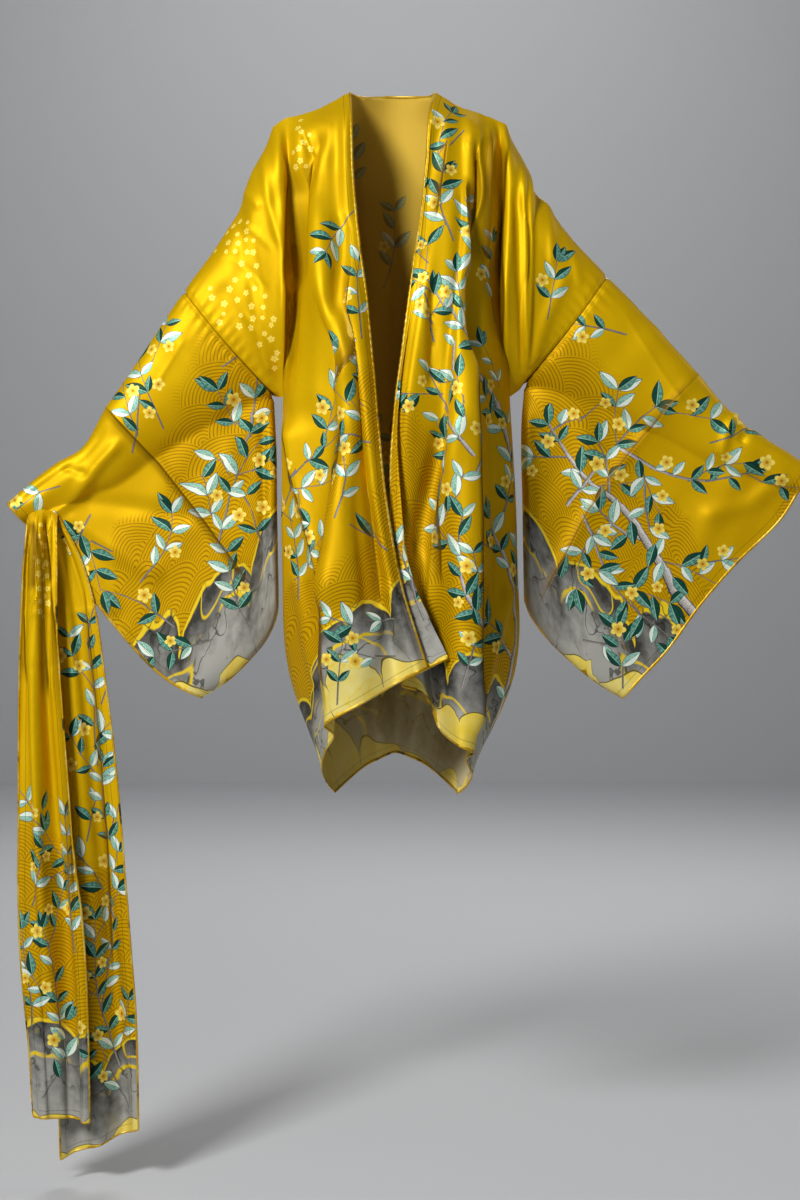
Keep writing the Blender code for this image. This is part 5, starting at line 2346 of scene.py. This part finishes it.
CROSS_CREASES = ((-686.0, 1.0), (-757.0, -0.9), (-1027.0, 1.2), (-1073.0, -1.0))


@dataclass
class SashFall(ClothPiece):
    """One fall of the sash."""

    fall: Fall = FRONT_FALL
    length_cells: int = 210
    width_cells: int = 56

    def grid(self, seat: float) -> Array:
        """Points (down, across, xyz): a wave between the two edges that opens out from the fold on top.

        Args:
            seat: y of the fall's middle, in mm.

        Returns:
            The points.
        """
        fall = self.fall
        heights = np.array(fall.levels, float)
        knots = (heights[0] - heights) / (heights[0] - heights[-1])
        down = np.linspace(0, 1, self.length_cells + 1)
        across = np.linspace(0, 1, self.width_cells + 1)
        left, right = spline(knots, fall.left, down), spline(knots, fall.right, down)
        hem = fall.hem_left + across * (fall.hem_right - fall.hem_left)
        top = heights[0] + SASH_TOP_RISE * np.sin(np.pi * across)
        x = left[:, None] + across[None] * (right - left)[:, None]
        z = top[None] + down[:, None] * (hem - top)[None]
        opened = 1.0 - np.exp(-down / SASH_BIGHT)
        swing = fall.swing * (TOP_SWING + (1 - TOP_SWING) * down**0.5)
        wave = np.cos(2 * np.pi * (fall.pleats * across[None] + fall.phase * (1 + down[:, None])))
        middle = (FRONT_FALL.lean + BACK_FALL.lean) / 2
        lean = middle + (fall.lean + fall.swing - middle) * opened
        y = seat - lean[:, None] - (swing * opened)[:, None] * wave
        y[0] = seat - middle
        return np.stack([x, y, z], axis=-1)

    def fold_heights(self, grid: Array) -> Array:
        """Gathers that fan out below the fold, pleats that run on down and slight pressed cross creases.

        Args:
            grid: the fall's points.

        Returns:
            The heights, in mm.
        """
        across = np.linspace(0, 1, grid.shape[1])[None]
        z = grid[..., 2]
        fan = np.exp((z - SASH_TOP) / FAN_LENGTH)
        gathers = FAN_HEIGHT * fan * np.sin(2 * math.pi * FAN_PLEATS * across + FAN_PHASE)
        heights = gathers + crease_heights(grid, self.creases)
        turn = 2 * math.pi * PLEATS * across + z / PLEAT_DRIFT
        heights = heights + PLEAT_HEIGHT * np.sin(turn + PLEAT_SWAY * np.sin(turn)) * (1 - FAN_COVERS * fan)
        for level, height in CROSS_CREASES:
            heights = heights + height * np.exp(-np.abs(z - level - CROSS_SLOPE * across) / CROSS_WIDTH)
        return heights

    def make(self, finishes: Finishes) -> None:
        """Builds the fall where the frame holds its solid.

        Args:
            finishes: the shared materials.
        """
        low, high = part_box(self.node)
        depths = self.grid(0.0)[..., 1]
        grid = self.grid((low[1] + high[1]) / 2 / MM - (depths.min() + depths.max()) / 2)
        layer = Layer(grid, Side.FRONT)
        layer.displace(self.fold_heights(grid) * smooth(layer.column_run / SASH_EASE))
        Printer(layer, self.seed).lay(self.sprays, self.plums)
        hem = layer.column_run[-1:] - layer.column_run
        flat = np.stack([layer.row_run, hem, hem], axis=-1) * MM
        edge = np.minimum(np.minimum(layer.row_run, layer.run_from(-1)), hem) * MM
        shell = Shell()
        shell.add(layer, flat, with_folds(edge, grid, self.creases))
        path, out = (
            np.concatenate([rows[:, 0], rows[-1, 1:-1], rows[::-1, -1]])
            for rows in (layer.points, layer.normals)
        )
        self.finish(shell, finishes, [RolledHem("hem_" + self.name, path, out, half_width=1.5)])


# The sash's creases, then the sprays of each piece and the clusters of plum blossom.
FRONT_FALL_CREASES = (
    Crease(((-446, -575), (-436, -690), (-420, -865), (-408, -1080)), 12, 4.5, Profile.STEP),
    Crease(((-482, -556), (-480, -640), (-478, -780)), 8, 4.0, Profile.STEP),
    Crease(((-462, -556), (-457, -640), (-448, -800)), 9, 4.0, Profile.STEP),
    Crease(((-455, -900), (-452, -1050), (-450, -1290)), 12, -3.0),
    Crease(((-470, -556), (-468, -600), (-467, -660)), 5, -4.5, Profile.STEP),
    Crease(((-452, -556), (-448, -600), (-444, -650)), 5, -4.0, Profile.STEP),
)
BACK_FALL_CREASES = (
    Crease(((-404, -640), (-388, -790), (-374, -980), (-366, -1180)), 11, 4.0, Profile.STEP),
    Crease(((-352, -820), (-346, -1000), (-344, -1200)), 8, 3.0),
)
FRONT_RIGHT_SPRAYS = (
    Spray(-140, -540, 40, 6, -4, 1.6, 30),
    Spray(-30, -470, 165, 6, 6, 1.4, 32),
    Spray(-122, -660, 78, 5, 5, 1.4, 30),
    Spray(-40, -330, 92, 4, -6, 1.2, 30, 1),
    Spray(-48, -170, 215, 3, 12, 1.0, 30, 0),
    Spray(-10, -600, 120, 4, 8, 1.4, 30),
    Spray(-92, -470, 62, 4, -10, 1.3, 30),
    Spray(0, -690, 160, 4, -8, 1.4, 30),
    Spray(-70, -560, 60, 4, 8, 1.4, 30),
    Spray(-100, -600, 100, 3, -8, 1.2, 28),
    Spray(-40, -420, 118, 3, 8, 1.0, 28),
    Spray(-70, -800, 60, 3, 8, 1.2, 28),
    Spray(0, -735, 150, 3, -8, 1.2, 28),
)
FRONT_LEFT_SPRAYS = (
    Spray(128, -840, 106, 12, 2.0, 7.0, 32),
    Spray(150, -460, 116, 9, 1.6, 5.2, 32),
    Spray(74, -372, 92, 5, 6, 3.2, 31),
    Spray(120, -700, 138, 6, -6, 3.4, 32),
    Spray(108, -500, 60, 4, 6, 2.6, 31),
    Spray(100, -480, 132, 5, -5, 2.8, 31),
    Spray(60, -600, 104, 6, -4, 2.0, 31),
    Spray(40, -690, 92, 5, 4, 1.8, 30),
    Spray(140, -560, 80, 5, 4, 1.6, 30),
    Spray(52, -330, 108, 5, -4, 1.5, 31),
    Spray(74, -200, 112, 4, -6, 1.5, 31),
    Spray(96, -250, 70, 4, 6, 1.5, 30),
    Spray(58, -90, 96, 3, -6, 1.1, 27),
    Spray(90, -60, 250, 3, 6, 1.1, 28),
    Spray(140, -440, 96, 4, 4, 1.4, 29),
    Spray(132, -300, 94, 4, 3, 1.3, 28),
    Spray(90, -770, 84, 4, 5, 1.6, 30),
    Spray(200, -300, 120, 3, 5, 1.0, 28),
)
BACK_SPRAYS = (
    Spray(-110, -820, 80, 14, 2, 5.5, 32),
    Spray(100, -790, 104, 10, -3, 3.0, 32),
    Spray(-60, -640, 30, 5, 8, 1.6, 32),
    Spray(20, -540, 140, 5, -6, 1.6, 32),
    Spray(60, -420, 60, 5, 6, 1.4, 30),
    Spray(-80, -360, 120, 5, -5, 1.4, 30),
    Spray(-10, -240, 70, 4, 8, 1.2, 30),
    Spray(90, -180, 110, 4, -6, 1.2, 30),
    Spray(-60, -120, 60, 3, 6, 1.2, 28),
    Spray(0, -720, 100, 4, 4, 1.4, 32),
    Spray(-210, -240, 230, 4, -6, 1.2, 28),
    Spray(220, -220, 310, 4, 6, 1.2, 28),
)
RIGHT_SLEEVE_SPRAYS = (
    Spray(-200, -470, 168, 8, -3, 1.8, 33),
    Spray(-300, -440, 120, 4, 5, 1.2, 30),
    Spray(-230, -600, 150, 6, 4, 1.8, 33),
    Spray(-400, -560, 330, 5, 6, 1.4, 32),
    Spray(-290, -700, 70, 4, -8, 1.4, 32),
    Spray(-220, -360, 200, 4, 6, 1.2, 30),
    Spray(-440, -520, 20, 3, -8, 1.0, 28),
    Spray(-330, -640, 160, 4, -6, 1.4, 32),
    Spray(-190, -540, 110, 3, 5, 1.2, 30),
    Spray(-240, -720, 20, 3, 5, 1.2, 30),
    Spray(-190, -700, 110, 4, 6, 1.4, 31),
    Spray(-170, -600, 130, 3, -6, 1.3, 29),
    Spray(-340, -470, 160, 5, -5, 1.4, 31),
    Spray(-370, -600, 60, 4, -5, 1.3, 30),
)
LEFT_SLEEVE_SPRAYS = (
    Spray(410, -690, 160, 12, -2.5, 7.0, 33),
    Spray(300, -470, 12, 8, 1.5, 2.6, 32),
    Spray(250, -560, -22, 8, -1, 2.2, 33),
    Spray(232, -540, 96, 7, -2, 2.6, 32),
    Spray(330, -520, -48, 5, 3, 1.6, 32),
    Spray(200, -450, 84, 4, 4, 1.4, 30),
    Spray(290, -660, 20, 5, -4, 1.4, 32),
    Spray(380, -620, 40, 4, 6, 1.4, 32),
    Spray(420, -460, 60, 3, 5, 1.2, 28),
    Spray(250, -720, 30, 3, 8, 1.4, 30),
    Spray(190, -640, 60, 3, 6, 1.3, 30),
    Spray(300, -780, 120, 3, 5, 1.3, 30),
    Spray(300, -320, 210, 4, 4, 1.4, 30),
)
SLEEVE_BACK_SPRAYS = (
    Spray(220, -600, 60, 8, -2, 2.2, 33),
    Spray(300, -520, 20, 6, 3, 1.6, 32),
    Spray(340, -640, 110, 5, -5, 1.6, 32),
    Spray(260, -420, 40, 5, 5, 1.4, 30),
    Spray(420, -520, 150, 4, 5, 1.4, 30),
    Spray(250, -700, 40, 4, 5, 1.4, 32),
)
FRONT_FALL_SPRAYS = (
    Spray(-425, -1290, 96, 8, -1, 1.8, 30),
    Spray(-415, -1120, 100, 7, 3, 1.6, 30),
    Spray(-470, -1220, 88, 5, 4, 1.3, 28),
    Spray(-468, -1060, 70, 5, 5, 1.2, 28),
    Spray(-452, -1310, 60, 4, 6, 1.3, 28),
)
BACK_FALL_SPRAYS = (
    Spray(-360, -1280, 96, 8, -1, 1.8, 30),
    Spray(-365, -1090, 98, 7, 2, 1.6, 30),
    Spray(-388, -880, 92, 6, 2, 1.4, 30),
    Spray(-400, -720, 84, 5, 4, 1.2, 28),
    Spray(-380, -1200, 60, 4, 6, 1.3, 28),
    Spray(-352, -1000, 112, 5, -5, 1.3, 29),
    Spray(-372, -800, 70, 4, 6, 1.2, 28),
    Spray(-400, -980, 66, 4, 5, 1.2, 28),
    Spray(-350, -1330, 110, 4, -6, 1.3, 28),
    Spray(-395, -1320, 80, 4, 5, 1.3, 28),
)
FRONT_RIGHT_PLUMS = ((-120, -70, 16, 30), (-205, -190, 26, 48), (-185, -290, 30, 60))
FRONT_FALL_PLUMS = ((-456, -610, 20, 34), (-452, -660, 12, 22))


def flipped(sprays: Sequence[Spray], shift: float = 0.0) -> tuple:
    """The same sprays on the other side of the body."""
    return tuple(s._replace(x=-s.x + shift, heading=180 - s.heading, bend=-s.bend) for s in sprays)


class Lamp(NamedTuple):
    """A square soft box: where it stands, where it aims, its side in metres and its power in watts."""

    name: str
    place: tuple
    aim: tuple
    size: float
    power: float


LAMPS = (
    Lamp("key", (-1.6, -2.6, 1.2), (0.0, 0.0, -0.55), 0.8, 128.0),
    Lamp("fill", (2.6, -1.6, 0.5), (0.1, 0.0, -0.6), 1.0, 4.0),
    Lamp("side", (3.2, 1.5, 0.9), (0.1, 0.0, -0.6), 1.4, 26.0),
    Lamp("behind", (0.4, 3.2, 1.8), (0.0, 0.0, -0.6), 1.4, 45.0),
    Lamp("wall_wash", (0.0, 3.4, 2.6), (0.0, 6.0, -0.6), 2.4, 60.0),
)


@dataclass(frozen=True)
class Studio:
    """The camera at the photograph's angle, a pale floor and wall, and soft lights."""

    scale: float = 1.32
    distance: float = 2.8
    centre_x: float = 0.0092
    centre_z: float = -0.6666
    image_height: float = 1200.0
    sensor: float = 36.0
    far_clip: float = 60.0
    floor_z: float = -1.43
    half_width: float = 30.0
    wall_y: float = 6.0
    wall_top: float = 5.0
    white: tuple = (1.0, 0.99, 0.97)
    sky: tuple = rgb(0.62, 0.64, 0.68)
    sky_strength: float = 0.06
    ceiling_power: float = 0.25
    ceiling_spread: float = 80.0
    ceiling_tilt: float = 12.0

    def camera(self) -> None:
        """A level camera whose field is the image's height at the plane of the arms."""
        data = bpy.data.cameras.new("view")
        data.sensor_width = self.sensor
        data.sensor_height = self.sensor
        data.sensor_fit = "VERTICAL"
        data.lens = self.sensor * self.distance / (self.image_height * self.scale * MM)
        data.clip_end = self.far_clip
        camera = placed("view", data)
        camera.location = (self.centre_x, -self.distance, self.centre_z)
        camera.rotation_euler = (math.radians(90), 0.0, 0.0)
        bpy.context.scene.camera = camera

    def light(self, lamp: Lamp) -> None:
        """Sets up one soft box.

        Args:
            lamp: the soft box.
        """
        data = bpy.data.lights.new(lamp.name, "AREA")
        data.shape = "SQUARE"
        data.size = lamp.size
        data.energy = lamp.power
        data.color = self.white
        box = placed(lamp.name, data)
        box.location = lamp.place
        box.rotation_euler = (Vector(lamp.aim) - Vector(lamp.place)).to_track_quat("-Z", "Y").to_euler()

    def ceiling(self) -> None:
        """A broad weak light from above and an even sky."""
        data = bpy.data.lights.new("ceiling", "SUN")
        data.energy = self.ceiling_power
        data.angle = math.radians(self.ceiling_spread)
        placed("ceiling", data).rotation_euler = (math.radians(self.ceiling_tilt), 0.0, 0.0)
        world = bpy.data.worlds.new("studio")
        world.use_nodes = True
        background = world.node_tree.nodes["Background"]
        background.inputs["Color"].default_value = self.sky
        background.inputs["Strength"].default_value = self.sky_strength
        bpy.context.scene.world = world

    def backdrop(self) -> None:
        """The floor and the wall behind it, as two planes."""
        half, low, wall, top = self.half_width, self.floor_z, self.wall_y, self.wall_top
        ground = [(-half, -half, low), (half, -half, low), (half, wall, low), (-half, wall, low)]
        upright = [(-half, wall, low), (half, wall, low), (half, wall, top), (-half, wall, top)]
        for name, corners in (("floor", ground), ("wall", upright)):
            mesh = bpy.data.meshes.new(name)
            mesh.from_pydata(corners, [], [(0, 1, 2, 3)])
            mesh.materials.append(StudioFloor("pale_" + name).build())
            placed(name, mesh)

    def build(self) -> None:
        """Sets the whole stage."""
        self.camera()
        for lamp in LAMPS:
            self.light(lamp)
        self.ceiling()
        bpy.context.scene.view_settings.view_transform = "Standard"
        self.backdrop()


def main() -> None:
    """Builds the robe and its sash in order and sets the stage."""
    logging.basicConfig(level=logging.INFO, format="%(message)s")
    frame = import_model()
    LOG.info("frame of %d nodes", len(frame["nodes"]))
    finishes = Finishes(
        face=PrintedSatin("printed_satin").build(),
        reverse=PrintedSatin("printed_satin_reverse", reverse=True).build(),
        hem=HemSatin("rolled_hem_satin").build(),
    )
    right = Front(
        "robe_front_right", "front_right", (0.30, 0.90), FRONT_RIGHT_CREASES, FRONT_RIGHT_SPRAYS,
        FRONT_RIGHT_PLUMS, seed=1, lines=FRONT_RIGHT_LINES, arm=RIGHT_ARM,
    )
    left = Front(
        "robe_front_left", "front_left", (0.32, 0.90), FRONT_LEFT_CREASES, FRONT_LEFT_SPRAYS,
        seed=2, lines=FRONT_LEFT_LINES, arm=LEFT_ARM, cells_per_fold=8,
    )
    back = Back("robe_back", "back", (0.56, 0.90), BACK_CREASES, BACK_SPRAYS)
    right_side = right.make(finishes)
    left_side = left.make(finishes)
    back.make(finishes, right_side, left_side)
    SleevePiece(
        "robe_sleeve_right", "sleeve_right", (0.80, 0.34), RIGHT_SLEEVE_CREASES, RIGHT_SLEEVE_SPRAYS,
        seed=21, arm=RIGHT_ARM, cut=RIGHT_SLEEVE, back_sprays=flipped(SLEEVE_BACK_SPRAYS, MIRROR_RIGHT),
    ).make(finishes)
    SleevePiece(
        "robe_sleeve_left", "sleeve_left", (0.80, 0.36), LEFT_SLEEVE_CREASES, LEFT_SLEEVE_SPRAYS,
        seed=31, arm=LEFT_ARM, cut=LEFT_SLEEVE, back_sprays=SLEEVE_BACK_SPRAYS,
    ).make(finishes)
    SashFall(
        "sash_front", "sash_front_fall", (0.112, 0.80), FRONT_FALL_CREASES, FRONT_FALL_SPRAYS,
        FRONT_FALL_PLUMS, seed=11, fall=FRONT_FALL,
    ).make(finishes)
    SashFall(
        "sash_back", "sash_back_fall", (0.112, 0.85), BACK_FALL_CREASES, BACK_FALL_SPRAYS,
        seed=12, fall=BACK_FALL,
    ).make(finishes)
    Studio().build()
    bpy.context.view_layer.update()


if __name__ == "__main__":
    main()
